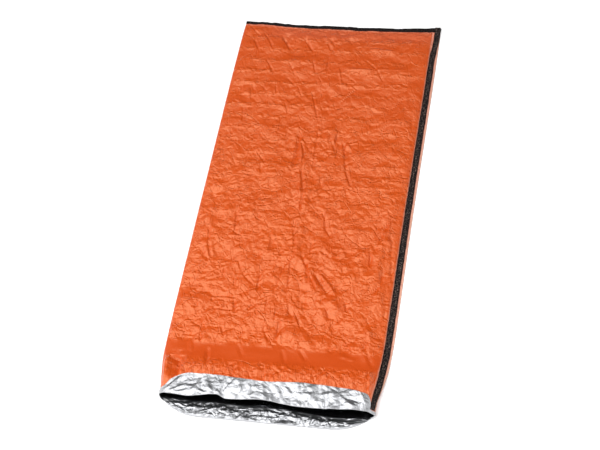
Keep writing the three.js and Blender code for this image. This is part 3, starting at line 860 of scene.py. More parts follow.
def mouth_creases(x, y, mask, seed):
    """Height of the lower layer's folds in and before the mouth. They die out inside."""
    rng = np.random.default_rng(seed)
    total = np.zeros_like(x)
    for crease in each(MOUTH_CREASES):
        add_crease(total, x, y, *crease)
    total = 0.6 * total + 1.2
    for size, stretch in (("broad", 1.0), ("fine", 0.6)):
        total += field_height(facet_field(MOUTH_ZONES, MOUTH_SPAN, rng, size, stretch), x, y, mask)
    reach = np.maximum(mouth_start(x) - lower_lip(x), 24)
    share = (mouth_start(x) - y) / reach + 0.10 * lattice_noise(x, 0 * x, 90, rng)
    roll = read(MOUTH_PROFILE, "height", share)
    total += roll * (0.8 + 0.5 * lattice_noise(x, y, 70, rng))
    shown = ease(-y, *INSIDE_RUN) * lerp(0.05, 1.0, mouth_front(x, y))
    return np.clip(total, 0, 14) * shown


def cuff_creases(x, y, mask, seed):
    """Height of the cuff's own creases, over its smooth form."""
    rng = np.random.default_rng(seed)
    total = 1.4 * np.ones_like(x)
    for size, stretch in (("broad", 1.6), ("fine", 0.9)):
        total += field_height(facet_field(CUFF_ZONES, CUFF_SPAN, rng, size, stretch), x, y, mask)
    for crease in each(CUFF_FOLDS):
        add_crease(total, x, y, *crease)
    return np.clip(total, -1.8, 7)


# Rows of the sheet along its length, from the foot to the lip and back along the cuff
BODY_ROWS = 208
RISE_ROWS = 12
CUFF_ROWS = 18
ROLL_ROWS = 4
SKIN_ROWS = BODY_ROWS + RISE_ROWS + CUFF_ROWS + 1
LIP_ROWS = 6  # rows on each side of the roll over which the cuff's creases blend in
ROW = np.arange(SKIN_ROWS + ROLL_ROWS + CUFF_ROWS + 1)[:, None]
ON_SKIN = ROW < SKIN_ROWS
ON_CUFF = ROW >= SKIN_ROWS + ROLL_ROWS
UNDER_STEP = (10, 8)  # columns and rows that share one face on the hidden underside
FOOT_SEAM_Y = 976  # the small creases stop at the foot seam
FOOT_SEAM_RUN = 26
BELOW_CUFF_RUN = (-6, 10)  # where the film goes below the cuff's raw edge
BELOW_CUFF = 0.25  # share of its creases that is left there
CORNER_RUN = 40  # the mouth's folds die out over this width before its left and right corners
MOUTH_CORNERS = (-406, 396)
MOUTH_LIMIT = -770  # the lower layer is crumpled from here to the lip
CUFF_LIMIT = -830  # and the cuff from here to the lip
MARGIN_CUFF = 0.6  # share of the cuff's creases on the bonded margin

# How much pale pink tint is painted on the film at its bonded side, column by column, and at its cut
# edge, and how much painted sheen lightens it in a line beside the foot binding and in a haze near the
# foot
SHOULDER_SEAM = (0, 0, 0, 0, 0, 0, 0.5, 0.6)
MARGIN_SEAM = (0.35, 0.5, 0.6, 0.8, 1.0)
CUT_EDGE = 1.0
BINDING_SHEEN = 0.3
BINDING_SHEEN_RUN = (9, 3)
FOOT_SHEEN = 0.09
FOOT_SHEEN_RUN = (870, 960)
FOOT_SHEEN_SIDE = (-420, -250)

# The crinkle of the packing rows also carries the film's painted sheen.
ROW_REACH = 13  # how far the crinkle of a packing row reaches to both sides
ROWS_ALONE_RUN = (200, 600)  # from the one place to the other, the crinkle keeps to the rows
PACKED_RUN = (-400, 100)  # and here the rows' own pattern comes in
FOIL_INSIDE = 0.1  # crumple of the foil inside the bag, where the lip's is 1
FOIL_CUFF = 0.36


def join_faces(bm, rows, columns, last_row, first_column, last_column):
    """Joins the faces of one part of a flat grid into larger ones."""
    step_column, step_row = UNDER_STEP
    gone = []
    for edge in bm.edges:
        c0, c1 = (round((corner.co.x + 0.5) * (columns - 1)) for corner in edge.verts)
        r0, r1 = (round((corner.co.y + 0.5) * (rows - 1)) for corner in edge.verts)
        if min(c0, c1) < first_column or max(c0, c1) > last_column or max(r0, r1) > last_row:
            continue
        if c0 == c1:
            joined = (c0 - first_column) % step_column and first_column < c0 < last_column
        else:
            joined = r0 % step_row and 0 < r0 < last_row
        if joined:
            gone.append(edge)
    bmesh.ops.dissolve_edges(bm, edges=gone, use_verts=True, use_face_split=False)


def lay_sheet(name, points, girth, length, marks, smooth=True, joined=None):
    """A mesh laid on a grid of points, with a UV map of the flat sheet in metres and its marks
    as one named number for each vertex. The faces up to a last row, between a first and a last
    column, may be joined into larger ones."""
    rows, columns = points.shape[:2]
    mesh = bpy.data.meshes.new(name)
    bm = bmesh.new()
    bm.loops.layers.uv.new("UVMap")
    bmesh.ops.create_grid(bm, x_segments=columns - 1, y_segments=rows - 1, size=0.5, calc_uvs=True)
    if joined:
        join_faces(bm, rows, columns, *joined)
    for face in bm.faces:
        face.smooth = smooth
    bm.to_mesh(mesh)
    bm.free()
    co = np.empty(len(mesh.vertices) * 3)
    mesh.vertices.foreach_get("co", co)
    co = co.reshape(-1, 3)
    column = np.rint((co[:, 0] + 0.5) * (columns - 1)).astype(int)
    row = np.rint((co[:, 1] + 0.5) * (rows - 1)).astype(int)
    mesh.vertices.foreach_set("co", (points[row, column] * MM).astype(np.float32).ravel())
    corner = np.empty(len(mesh.loops), int)
    mesh.loops.foreach_get("vertex_index", corner)
    uv = np.stack([girth[row, column][corner], length[row, column][corner]], -1) * MM
    mesh.uv_layers[0].data.foreach_set("uv", uv.astype(np.float32).ravel())
    for mark, values in marks.items():
        layer = mesh.attributes.new(mark, "FLOAT", "POINT")
        layer.data.foreach_set("value", values[row, column].astype(np.float32))
    mesh.update()
    return mesh


def face_up(mesh, point):
    """Turns the sheet over if its faces point down at one of its points."""
    sample = Vector(point * MM)
    nearest = min(mesh.polygons, key=lambda face: (face.center - sample).length)
    if nearest.normal.z < 0:
        mesh.flip_normals()


def link(mesh, name, *materials):
    """Puts a mesh in the scene as an object at the origin."""
    piece = bpy.data.objects.new(name, mesh)
    bpy.context.scene.collection.objects.link(piece)
    for coat in materials:
        mesh.materials.append(coat)
    return piece


def thicken(piece, thickness, inner_slot=0):
    """Gives a sheet its wall, inwards from its outer face."""
    wall = piece.modifiers.new("Wall", "SOLIDIFY")
    wall.thickness = thickness
    wall.offset = -1
    wall.material_offset = inner_slot
    wall.use_rim = True


def row_places(lip, raw):
    """Place along the bag of every vertex: of the sack's skin, from the foot to the lip, and of
    the whole sheet, with the roll at the lip and the cuff's way back."""
    body = np.linspace(FOOT_Y - TAPE - EDGE_CLEARANCE, MOUTH_Y, BODY_ROWS + 1)[:-1]
    rise = np.linspace(0, 1, RISE_ROWS + 1)[:-1]
    turn = np.linspace(0, 1, CUFF_ROWS + 1)
    straight = np.repeat(body[:, None], COLUMNS, 1)
    to_raw = lerp(MOUTH_Y, raw[None, :], rise[:, None])
    to_lip = lerp(raw[None, :], lip[None, :], turn[:, None])
    skin = np.concatenate([straight, to_raw, to_lip])
    roll = np.repeat(lip[None, :], ROLL_ROWS, 0)
    return skin, np.concatenate([skin, roll, to_lip[::-1]])


def outward(base, skin):
    """Unit directions out of the sack's skin. Near the mouth they turn sideways along the cut
    margins, so that the cuff wraps round them."""
    out = np.cross(np.gradient(base, axis=1), np.gradient(base, axis=0))
    out /= np.linalg.norm(out, axis=-1, keepdims=True)
    if out[0, MIDDLE, 2] < 0:
        out = -out
    near_mouth = ease(-skin, 800, 880)
    sideways = np.array([1.0, 0.0, 0.1])
    for name, start, end in (("margin_high", 0, 1), ("margin_low", 1, 0)):
        mine = GROUP == name
        share = lerp(start, end, PLACE[mine])
        blend = (share[None, :] * near_mouth[:, mine])[..., None]
        turned = lerp(out[:, mine], sideways, blend)
        out[:, mine] = turned / np.linalg.norm(turned, axis=-1, keepdims=True)
    return out


def turn_out_cuff(base, out):
    """The skin's points with the roll at the lip and the cuff that lies back over the skin, and
    the outward directions of all."""
    gap = np.where(LOWER_LAYER, CUFF_GAP_UNDER, CUFF_GAP_OVER)
    for name, start, end in (("fold_low", CUFF_GAP_UNDER, CUFF_GAP_OVER),
                             ("margin_low", CUFF_GAP_OVER, CUFF_GAP_UNDER)):
        gap[GROUP == name] = lerp(start, end, PLACE[GROUP == name])
    angle = (np.arange(ROLL_ROWS) + 1)[:, None] / (ROLL_ROWS + 1) * np.pi
    lift = gap[None, :] / 2 * (1 - np.cos(angle))
    past = gap[None, :] / 2 * np.sin(angle)
    roll_out = np.repeat(out[-1:], ROLL_ROWS, 0)
    roll = np.repeat(base[-1:], ROLL_ROWS, 0) + roll_out * lift[..., None]
    roll[..., 1] -= past
    cuff_out = out[-CUFF_ROWS - 1:][::-1]
    cuff = base[-CUFF_ROWS - 1:][::-1] + cuff_out * gap[None, :, None]
    return np.concatenate([base, roll, cuff]), np.concatenate([out, roll_out, cuff_out])


def crumple_height(x, place, lip, raw, seed):
    """Height of all small creases over the smooth sheet."""
    fade = np.zeros(COLUMNS)
    for name, start, end in (("fold_high", 0.15, 1), ("over", 1, 1), ("shoulder", 1, 0.12)):
        mine = GROUP == name
        fade[mine] = np.linspace(start, end, mine.sum())
    foot_seam = ease(FOOT_SEAM_Y - place, 0, FOOT_SEAM_RUN)
    below_cuff = ease(raw[None, :] - place, *BELOW_CUFF_RUN)
    upper = upper_creases(x, place, ON_SKIN & (fade > 0)[None, :], seed) * fade[None, :]
    upper = upper * foot_seam * lerp(1, BELOW_CUFF, below_cuff)

    in_mouth = ON_SKIN & UNDER[None, :] & (place < MOUTH_LIMIT)
    lower = mouth_creases(x, place, in_mouth, seed + 1)
    left, right = MOUTH_CORNERS
    corner_fade = ease(np.where(x > 0, right, -left) - np.abs(x), 0, CORNER_RUN)
    lower *= UNDER[None, :] * corner_fade

    on_cuff = (ROW >= SKIN_ROWS - LIP_ROWS) & (place < CUFF_LIMIT)
    cuff_fade = np.where(LOWER_LAYER, 0.0, 1.0)
    cuff_fade[GROUP == "margin_high"] = MARGIN_CUFF
    cuff = cuff_creases(x, place, on_cuff, seed + 2) * cuff_fade[None, :]
    height = (upper - lower) * ON_SKIN + cuff * ON_CUFF

    at_lip = np.repeat(lip[None, :], len(ROW), 0)
    lip_creases = cuff_creases(x, at_lip, on_cuff, seed + 2) * cuff_fade[None, :]
    first, last = SKIN_ROWS, SKIN_ROWS + ROLL_ROWS
    lip_share = np.zeros(len(ROW))
    lip_share[first - LIP_ROWS:first] = np.linspace(0, 1, LIP_ROWS)
    lip_share[first:last] = 1
    lip_share[last:last + LIP_ROWS] = np.linspace(1, 0, LIP_ROWS)
    return lerp(height, lip_creases, lip_share[:, None] * UPPER_LAYER[None, :])


def film_marks(x, place):
    """What the film's materials read at each vertex: how strong the crinkle and the packing rows are,
    with the crinkle also setting the painted sheen and shade of the film's colour; how much pale pink
    tint and painted sheen go on the film; and how crumpled the foil is."""
    from_row = np.mod(PACKING_ROWS[0] - place, PACKING_PITCH)
    from_row = np.minimum(from_row, PACKING_PITCH - from_row)
    on_row = np.exp(-((from_row / ROW_REACH) ** 2))
    # The crinkle also sets the film's colour: paler, a painted sheen, where it is strong, and deeper,
    # a painted shade, on the smooth band and between the packing rows.
    crinkle_and_sheen = 1 - 0.9 * calm_band(place) * ON_SKIN
    crinkle_and_sheen = crinkle_and_sheen * lerp(1, 0.45 + 0.55 * on_row, ease(place, *ROWS_ALONE_RUN))
    packed = ease(place, *PACKED_RUN) * ON_SKIN * (0.2 + 0.8 * on_row)
    foil = np.where(LOWER_LAYER[None, :], lerp(FOIL_INSIDE, 1.0, mouth_front(x, place)), FOIL_INSIDE)
    foil = np.where(ON_SKIN, foil, FOIL_CUFF)

    seam = np.zeros(COLUMNS)
    seam[GROUP == "shoulder"] = SHOULDER_SEAM
    seam[GROUP == "margin_high"] = MARGIN_SEAM
    seam[0] = CUT_EDGE
    seam = np.repeat(seam[None, :], len(ROW), 0)
    binding_edge = FOOT_Y - read(BINDING_DEPTH, "depth", x)
    near, full = BINDING_SHEEN_RUN
    # Painted sheen: a pale line beside the foot binding and a haze near the foot.
    foot_seam = BINDING_SHEEN * ease(place, binding_edge - near, binding_edge - full)
    foot_sheen = FOOT_SHEEN * ease(place, *FOOT_SHEEN_RUN) * ease(x, *FOOT_SHEEN_SIDE)
    seam_tint_and_sheen = np.maximum(seam, np.maximum(foot_seam, foot_sheen) * ON_SKIN)
    return {"crinkle_and_sheen": crinkle_and_sheen, "packed": packed, "seam_tint_and_sheen": seam_tint_and_sheen, "foil": foil}


def along_line(points):
    """Distance along a line of points from its first point."""
    steps = np.linalg.norm(np.diff(points, axis=0), axis=-1)
    return np.concatenate([[0], np.cumsum(steps)])


def film_sheet(sizes, colours):
    """The film sack with its turned-out cuff, as one thin sheet."""
    lip, raw = mouth_lines()
    skin, place = row_places(lip, raw)
    x, z = sack(skin)
    base = np.stack([x, bowed(x, skin), z], -1)
    smooth, out = turn_out_cuff(base, outward(base, skin))
    height = crumple_height(smooth[..., 0], place, lip, raw, sizes.crease_seed)
    points = smooth + out * (height * sizes.crumple)[..., None]
    points[..., 2] = np.maximum(points[..., 2], FILM_SEAT)
    girth = np.repeat(along_line(base[SKIN_ROWS // 2])[None, :], len(ROW), 0)
    length = np.repeat(along_line(points[:, MIDDLE])[:, None], COLUMNS, 1)
    marks = film_marks(smooth[..., 0], place)
    mesh = lay_sheet("film_sheet", points, girth, length, marks, False, (BODY_ROWS, *UNDER_ENDS))
    face_up(mesh, points[BODY_ROWS // 2, MIDDLE])
    outside = material("pigmented polyethylene film", film_surface, colours)
    inside = material("aluminised film", foil_surface, colours)
    piece = link(mesh, "film_sheet", outside, inside)
    thicken(piece, sizes.film, inner_slot=1)
    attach(piece, BODY)
    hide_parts("film_sack")


# Side tape, laid on the bonded margin
SIDE_TAPE_ROWS = 420
SIDE_TAPE_COLUMNS = 7
SIDE_TAPE_END_Y = -926.0
SIDE_TAPE_PAST = 1.5  # how far it reaches past the foot binding
LAP_RUN = (962, 980)  # where the side tape climbs on to the foot binding
LAP_HEIGHT = 3.3
CALM_RUN = (-900, -860)  # where its puckers die out under the cuff
TAPE_PLACE = table("y inner outer", (
    (1003, 10.5, 36),
    (960, 9.5, 35.5),
    (905, 6.5, 32.5),
    (850, 2, 28),
    (800, 0.5, 26),
    (-926, 0.5, 26),
))


def side_tape(sizes, colours):
    """Soft tape along the bonded side, from its lap over the foot binding to under the cuff. Its
    edges wander a little, and its face is puckered between the stitches."""
    rng = np.random.default_rng(21)
    y = np.linspace(FOOT_Y + SIDE_TAPE_PAST, SIDE_TAPE_END_Y, SIDE_TAPE_ROWS)
    y = np.repeat(y[:, None], SIDE_TAPE_COLUMNS, 1)
    t = np.linspace(0, 1, SIDE_TAPE_COLUMNS)[None, :] + 0 * y
    at = section(y)
    shoulder = np.stack([at["shoulder"], at["shoulder_height"]], -1)
    edge = np.stack([at["edge"], at["edge_low"] + PAIR], -1)
    across = edge - shoulder
    across /= np.linalg.norm(across, axis=-1, keepdims=True)
    out = np.stack([-across[..., 1], across[..., 0]], -1)
    run = lerp(read(TAPE_PLACE, "inner", y), read(TAPE_PLACE, "outer", y), t)
    wander = 0.7 * lattice_noise(y, 0 * y, 34, rng) + 0.4 * lattice_noise(y, 0 * y, 11, rng)
    run = run + wander * (2 * t - 1)
    pucker = 0.45 * np.abs(lattice_noise(y, 60 * t, 17, rng))
    pucker += 0.35 * np.abs(lattice_noise(y, 90 * t, 7, rng))
    lift = GAP + sizes.tape / MM + LAP_HEIGHT * ease(y, *LAP_RUN)
    lift = lift + pucker * lerp(0.3, 1, ease(y, *CALM_RUN))
    flat = shoulder + across * run[..., None] + out * lift[..., None]
    points = np.stack([flat[..., 0], bowed(flat[..., 0], y), flat[..., 1]], -1)
    marks = {"middle": 1 - np.abs(2 * t - 1) ** 3}
    mesh = lay_sheet("side_tape_strip", points, run, y, marks)
    face_up(mesh, points[SIDE_TAPE_ROWS // 2, SIDE_TAPE_COLUMNS // 2])
    piece = link(mesh, "side_tape_strip", material("black nonwoven tape", tape_surface, colours))
    thicken(piece, sizes.tape)
    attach(piece, BODY)
    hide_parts("side_tape")


# Foot binding, folded over the foot edge
BINDING_ROWS = 300
BINDING_COLUMNS = 17
BINDING_UNDER = 16.0  # depth of its lower leg
BINDING_PAST = (2, 1.5)  # how far it reaches past the film at the left and at the right
BINDING_FOLD = (0.34, 0.60)  # share of its width where the fold starts and ends
BINDING_GIRTH = 60  # its width in the fibres' UV map
BINDING_STITCHING = 0.25  # how much of the pale stitching shows, from 0 to 1


def foot_binding(sizes, colours):
    """Soft tape folded over the foot edge, lumpy where it is gathered, with a ragged outline."""
    rng = np.random.default_rng(33)
    foot = section(np.array([FOOT_Y - TAPE]))
    past_left, past_right = BINDING_PAST
    x = np.linspace(foot["left"][0] - past_left, foot["edge"][0] + past_right, BINDING_ROWS)
    x = np.repeat(x[:, None], BINDING_COLUMNS, 1)
    t = np.linspace(0, 1, BINDING_COLUMNS)[None, :] + 0 * x
    depth = read(BINDING_DEPTH, "depth", x)
    depth = depth + 1.8 * lattice_noise(x, 0 * x, 46, rng) + 1.4 * lattice_noise(x, 0 * x, 14, rng)
    bend = (foot["height"][0] + GAP + TAPE) / 2
    start, end = BINDING_FOLD
    angle = np.clip((t - start) / (end - start), 0, 1) * np.pi
    under_y = lerp(FOOT_Y - BINDING_UNDER, FOOT_Y - bend, np.clip(t / start, 0, 1))
    over_y = lerp(FOOT_Y - bend, FOOT_Y - depth, np.clip((t - end) / (1 - end), 0, 1))
    turn_y = FOOT_Y - bend + bend * np.sin(angle)
    y = np.where(t < start, under_y, np.where(t > end, over_y, turn_y))
    z = bend - bend * np.cos(angle)
    lump = 1.6 * lattice_noise(x, 40 * t, 26, rng)
    lump = lump + 1.2 * np.abs(lattice_noise(x, 30 * t, 9, rng))
    z = z + np.clip(lump, -0.1, 3) * ease(t, 0.45, 0.7)
    outline = 1.6 * lattice_noise(x, 0 * x, 60, rng) + 2.0 * lattice_noise(x, 0 * x, 21, rng)
    y = y + outline * ease(t, 0.2, start) * (1 - 0.7 * ease(t, end, 0.9))
    points = np.stack([x, bowed(x, y), np.maximum(z, 0)], -1)
    marks = {"middle": np.full(x.shape, BINDING_STITCHING)}
    mesh = lay_sheet("foot_binding_strip", points, BINDING_GIRTH * t, x, marks)
    face_up(mesh, points[BINDING_ROWS // 2, -2])
    piece = link(mesh, "foot_binding_strip", material("black nonwoven tape", tape_surface, colours))
    thicken(piece, sizes.tape)
    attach(piece, BODY)
    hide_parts("foot_binding")


# Materials

def material(name, surface, colours):
    """The material with this name. Its surface function sets its nodes when it is first asked for."""
    made = bpy.data.materials.get(name)
    if made is None:
        made = bpy.data.materials.new(name)
        made.use_nodes = True
        tree = made.node_tree
        tree.nodes.clear()
        shader = tree.nodes.new("ShaderNodeBsdfPrincipled")
        output = tree.nodes.new("ShaderNodeOutputMaterial")
        tree.links.new(shader.outputs["BSDF"], output.inputs["Surface"])
        surface(tree, shader.inputs, colours)
    return made


def node(tree, kind, *values, get=0, places=None, **settings):
    """Adds a node and gives the output with that number or name. The values, or links, go to its
    inputs in order, those in places to the inputs with those numbers, and those in keywords with
    a capital to the inputs with those names. Other keywords are the node's own settings."""
    made = tree.nodes.new("ShaderNode" + kind)
    inputs = dict(enumerate(values))
    inputs.update(places or {})
    for key, value in settings.items():
        if key[0].isupper():
            inputs[key] = value
        else:
            setattr(made, key, value)
    for key, value in inputs.items():
        if isinstance(value, bpy.types.NodeSocket):
            tree.links.new(value, made.inputs[key])
        else:
            made.inputs[key].default_value = value
    return made.outputs[get]


# The film's finest crinkles in millimetres. Flat facets: their size, stretch along the bag and
# depth. Pressed lines: the size of their net, its stretch, their depth and the width of a line.
FILM_FACETS = ((36, 1.0, 4.0), (16, 1.0, -1.3))
FILM_LINES = ((66, 1.0, 1.5, 4.2), (38, 1.0, -1.2, 3.4))
PACKED_FACETS = ((44, 0.42, 1.5),)
PACKED_LINES = ((58, 0.34, -1.8, 4.0),)
FOIL_FACETS = ((40, 0.7, 6.0), (18, 1.0, -2.2))
FOIL_LINES = ((34, 0.7, 1.0, 3.0),)
BEND_HILLS = 0.4  # hills of the noise that bends such a pattern, for each of its cells
BEND_REACH = 2.0  # how many cells it moves the pattern by at most
BREAK_HILLS = 1.3  # hills of the noise that breaks lines up, for each cell
BREAK_RANGE = (0.46, 0.5711)  # values of that noise from where a line is gone to where it is whole
CLOUD_SIZE = 180  # of the slow changes in the film's colour
# The film's colour is painted deeper, a painted shade, where it is smooth, and paler, a painted sheen,
# where it is crinkled; a slow noise also changes its tone at random.
DEEP_TONE_AND_SHADE = (0.96, 0.9, 0.8)  # share of the film's colour where it is deepest
PALE_TONE_AND_SHEEN = (1.04, 1.12, 1.3)  # and where it is palest
# Pale pink painted along the bonded margin, and as painted sheen beside the foot binding and near the
# foot.
SEAM_AND_SHEEN_TINT = "#C79484"
WARM_GLOSS = "#FFF1C2"
FOIL_ROUGHNESS = (0.0, 0.3625, 0.04, 0.33)  # two values of its crumple, and the roughness at each


def crinkle_height(tree, facets, lines):
    """Height in metres of the finest crinkles, on the sheet's own UV map: little roofs of flat
    facets, and a broken net of thin pressed lines, both bent by a slow noise."""
    uv = node(tree, "UVMap")
    total = 0.0
    for size, stretch, depth, *width in facets + lines:
        scale = 1 / (size * MM)
        bend = node(tree, "TexNoise", get="Color", Vector=uv, Scale=BEND_HILLS * scale, Detail=1.0,
                    noise_dimensions="2D")
        bend = node(tree, "VectorMath", bend, Scale=BEND_REACH / scale, operation="SCALE")
        moved = node(tree, "VectorMath", uv, bend, operation="ADD")
        shaped = node(tree, "Mapping", moved, Scale=(1.0, 1 / stretch, 1.0))
        shape = node(tree, "TexVoronoi", get="Distance", Vector=shaped, Scale=scale,
                     feature="DISTANCE_TO_EDGE", voronoi_dimensions="2D")
        if width:
            shape = node(tree, "MapRange", shape, 0.0, width[0] / size, -1.0, 0.0)
            broken = node(tree, "TexNoise", Vector=uv, Scale=BREAK_HILLS * scale, Detail=1.0,
                          noise_dimensions="2D")
            shown = node(tree, "MapRange", broken, *BREAK_RANGE, 0.0, 1.0)
            shape = node(tree, "Math", shape, shown, operation="MULTIPLY")
        raised = node(tree, "Math", shape, depth * MM, operation="MULTIPLY")
        total = node(tree, "Math", total, raised, operation="ADD")
    return total


def film_surface(tree, shader, colours):
    """Pigmented polyethylene film over an aluminised back, blown, satin. Its colour changes slowly at
    random and carries painted sheen and shade: paler where the film is crinkled, deeper where it is
    smooth. Its bonded margin is painted a pale pink, and painted sheen lightens it beside the foot
    binding and near the foot."""
    crinkle_and_sheen, packed, seam_tint_and_sheen = (node(tree, "Attribute", get="Fac", attribute_name=name)
                               for name in ("crinkle_and_sheen", "packed", "seam_tint_and_sheen"))
    height = crinkle_height(tree, FILM_FACETS, FILM_LINES)
    rows = crinkle_height(tree, PACKED_FACETS, PACKED_LINES)
    rows = node(tree, "Math", rows, packed, operation="MULTIPLY")
    height = node(tree, "Math", height, rows, operation="ADD")
    height = node(tree, "Math", height, crinkle_and_sheen, operation="MULTIPLY")
    bump = node(tree, "Bump", Height=height, Strength=1.0, Distance=1.0)
    uv = node(tree, "UVMap")
    # Painted sheen and shade: the slow noise of tone is scaled by the crinkle, so the colour is paler
    # where the film is crinkled and deeper on the smooth band.
    tone_and_sheen = node(tree, "TexNoise", Vector=uv, Scale=1 / (CLOUD_SIZE * MM), Detail=3.0)
    tone_and_sheen = node(tree, "Math", crinkle_and_sheen, tone_and_sheen, operation="MULTIPLY", use_clamp=True)
    deep_tone_and_shade = (*(c * s for c, s in zip(colours.film, DEEP_TONE_AND_SHADE)), 1)
    pale = (*(min(1, c * s) for c, s in zip(colours.film, PALE_TONE_AND_SHEEN)), 1)
    film = node(tree, "Mix", tone_and_sheen, get=2, places={6: deep_tone_and_shade, 7: pale}, data_type="RGBA")
    # The pale pink tint along the bonded margin, and painted sheen beside the foot binding and near
    # the foot.
    tint = (*linear(SEAM_AND_SHEEN_TINT), 1)
    film = node(tree, "Mix", seam_tint_and_sheen, get=2, places={6: film, 7: tint}, data_type="RGBA")
    tree.links.new(film, shader["Base Color"])
    tree.links.new(bump, shader["Normal"])
    shader["Roughness"].default_value = 0.33
    shader["IOR"].default_value = 1.5
    shader["Specular IOR Level"].default_value = 1.0
    shader["Specular Tint"].default_value = (*linear(WARM_GLOSS), 1)


def foil_surface(tree, shader, colours):
    """Vacuum-aluminised film: a thin mirror coat that breaks into hard bright and dark facets at
    every crinkle, and is duller where it is more crumpled."""
    crumpled = node(tree, "Attribute", get="Fac", attribute_name="foil")
    height = crinkle_height(tree, FOIL_FACETS, FOIL_LINES)
    height = node(tree, "Math", height, crumpled, operation="MULTIPLY")
    bump = node(tree, "Bump", Height=height, Strength=1.0, Distance=1.0)
    dull = node(tree, "MapRange", crumpled, *FOIL_ROUGHNESS)
    tree.links.new(bump, shader["Normal"])
    tree.links.new(dull, shader["Roughness"])
    shader["Base Color"].default_value = (*colours.foil, 1)
    shader["Metallic"].default_value = 1.0


# Both patterns of the tape, in millimetres, are drawn coarser than the real ones, so that they
# show in the render
FIBRE_PITCH = 3.5
FIBRE_HEIGHT = 0.8
STITCH_PITCH = (7, 3)  # across and along the tape
STITCH_RANGE = (0.53, 0.73)  # values of the noise between which the pale fibres come in
STITCH_TINT = "#7A6A62"


def tape_surface(tree, shader, colours):
    """Black spun nonwoven tape: matt and a little fluffy. Its middle, where the stitching pulls
    paler fibres up, is mottled, and its edges stay black."""
    uv = node(tree, "UVMap")
    middle = node(tree, "Attribute", get="Fac", attribute_name="middle")
    across, along = STITCH_PITCH
    stitches = node(tree, "Mapping", uv, Scale=(1 / (across * MM), 1 / (along * MM), 1.0))
    stitches = node(tree, "TexNoise", Vector=stitches, Scale=1.0, Detail=1.0)
    pulled = node(tree, "MapRange", stitches, *STITCH_RANGE, 0.0, 1.0)
    pulled = node(tree, "Math", pulled, middle, operation="MULTIPLY", use_clamp=True)
    black = (*colours.tape, 1)
    pale = (*linear(STITCH_TINT), 1)
    tape = node(tree, "Mix", pulled, get=2, places={6: black, 7: pale}, data_type="RGBA")
    fibres = node(tree, "TexNoise", Vector=uv, Scale=1 / (FIBRE_PITCH * MM), Detail=3.0)
    bump = node(tree, "Bump", Height=fibres, Strength=0.6, Distance=FIBRE_HEIGHT * MM)
    tree.links.new(tape, shader["Base Color"])
    tree.links.new(bump, shader["Normal"])
    shader["Roughness"].default_value = 0.9
    shader["Specular IOR Level"].default_value = 0.08


def floor_surface(tree, shader, colours):
    """Painted board, rolled on matt: it gives the bag a soft shadow and no mirror image."""
    shader["Base Color"].default_value = (*colours.floor, 1)
    shader["Roughness"].default_value = 0.9
    shader["Specular IOR Level"].default_value = 0.2


# Stage

# The camera stands where the photograph was taken from, fitted to the bag's outline. Angles are
# degrees, lengths metres, and the focal length pixels of the photograph's frame.
CAMERA = {"azimuth": 21.6054, "elevation": 55.2249, "roll": -14.3516, "distance": 5.9496,
          "right": -0.0325, "up": -0.1085, "shift_y": 0.036, "focal_px": 1406.788}
IMAGE_WIDTH = 600
FLOOR_HALF = 60.0

# Shades of the room that the foil mirrors. Each has two values, of a noise or of one part of the
# direction, and the light at each. The room is dark past the foot, low down and on the camera's
# side.
ROOM_NOISE = 2.6
ROOM_SHADE = (0.36, 0.6541, 0.45, 1.45)
ROOM_FOOT = (0.3, 0.7167, 1.38, 0.13)
ROOM_LOW = (0.0, 0.3409, 0.25, 1.0)
ROOM_CAMERA_SIDE = (-0.3846, -0.1154, 0.3, 1.0)


def camera():
    """The camera at the photograph's place and angle."""
    turn = math.radians(CAMERA["azimuth"])
    rise = math.radians(CAMERA["elevation"])
    roll = math.radians(CAMERA["roll"])
    back = Vector((math.sin(turn) * math.cos(rise), -math.cos(turn) * math.cos(rise), math.sin(rise)))
    level = Vector((math.cos(turn), math.sin(turn), 0))
    upright = back.cross(level)
    right = math.cos(roll) * level + math.sin(roll) * upright
    up = -math.sin(roll) * level + math.cos(roll) * upright
    place = back * CAMERA["distance"] + right * CAMERA["right"] + up * CAMERA["up"]
    place += Vector((0, CAMERA["shift_y"], 0))
    data = bpy.data.cameras.new("camera")
    data.sensor_width = 36
    data.lens = CAMERA["focal_px"] / IMAGE_WIDTH * data.sensor_width
    eye = bpy.data.objects.new("camera", data)
    bpy.context.scene.collection.objects.link(eye)
    eye.matrix_world = Matrix.Translation(place) @ Matrix((right, up, back)).transposed().to_4x4()
    bpy.context.scene.camera = eye


def lamp(name, place, aim, size, power, mirrored=True):
    """A square soft light aimed at a point, its size in metres and its power in watts, which the
    foil mirrors or not."""
    data = bpy.data.lights.new(name, "AREA")
    data.size = size
    data.energy = power
    light = bpy.data.objects.new(name, data)
    bpy.context.scene.collection.objects.link(light)
    light.visible_glossy = mirrored
    light.location = place
    light.rotation_euler = (Vector(aim) - Vector(place)).to_track_quat("-Z", "Y").to_euler()


def room():
    """White studio light in large soft patches of shade, which the foil mirrors."""
    world = bpy.data.worlds.new("studio")
    world.use_nodes = True
    tree = world.node_tree
    toward = node(tree, "TexCoord", get="Generated")
    level = node(tree, "TexNoise", Vector=toward, Scale=ROOM_NOISE, Detail=1.0)
    level = node(tree, "MapRange", level, *ROOM_SHADE)
    _, length, height = node(tree, "SeparateXYZ", toward).node.outputs
    for direction, shade in ((length, ROOM_FOOT), (height, ROOM_LOW), (length, ROOM_CAMERA_SIDE)):
        shade = node(tree, "MapRange", direction, *shade)
        level = node(tree, "Math", level, shade, operation="MULTIPLY")
    tree.links.new(level, tree.nodes["Background"].inputs["Strength"])
    tree.nodes["Background"].inputs["Color"].default_value = (*linear("#FFFFFF"), 1)
    bpy.context.scene.world = world


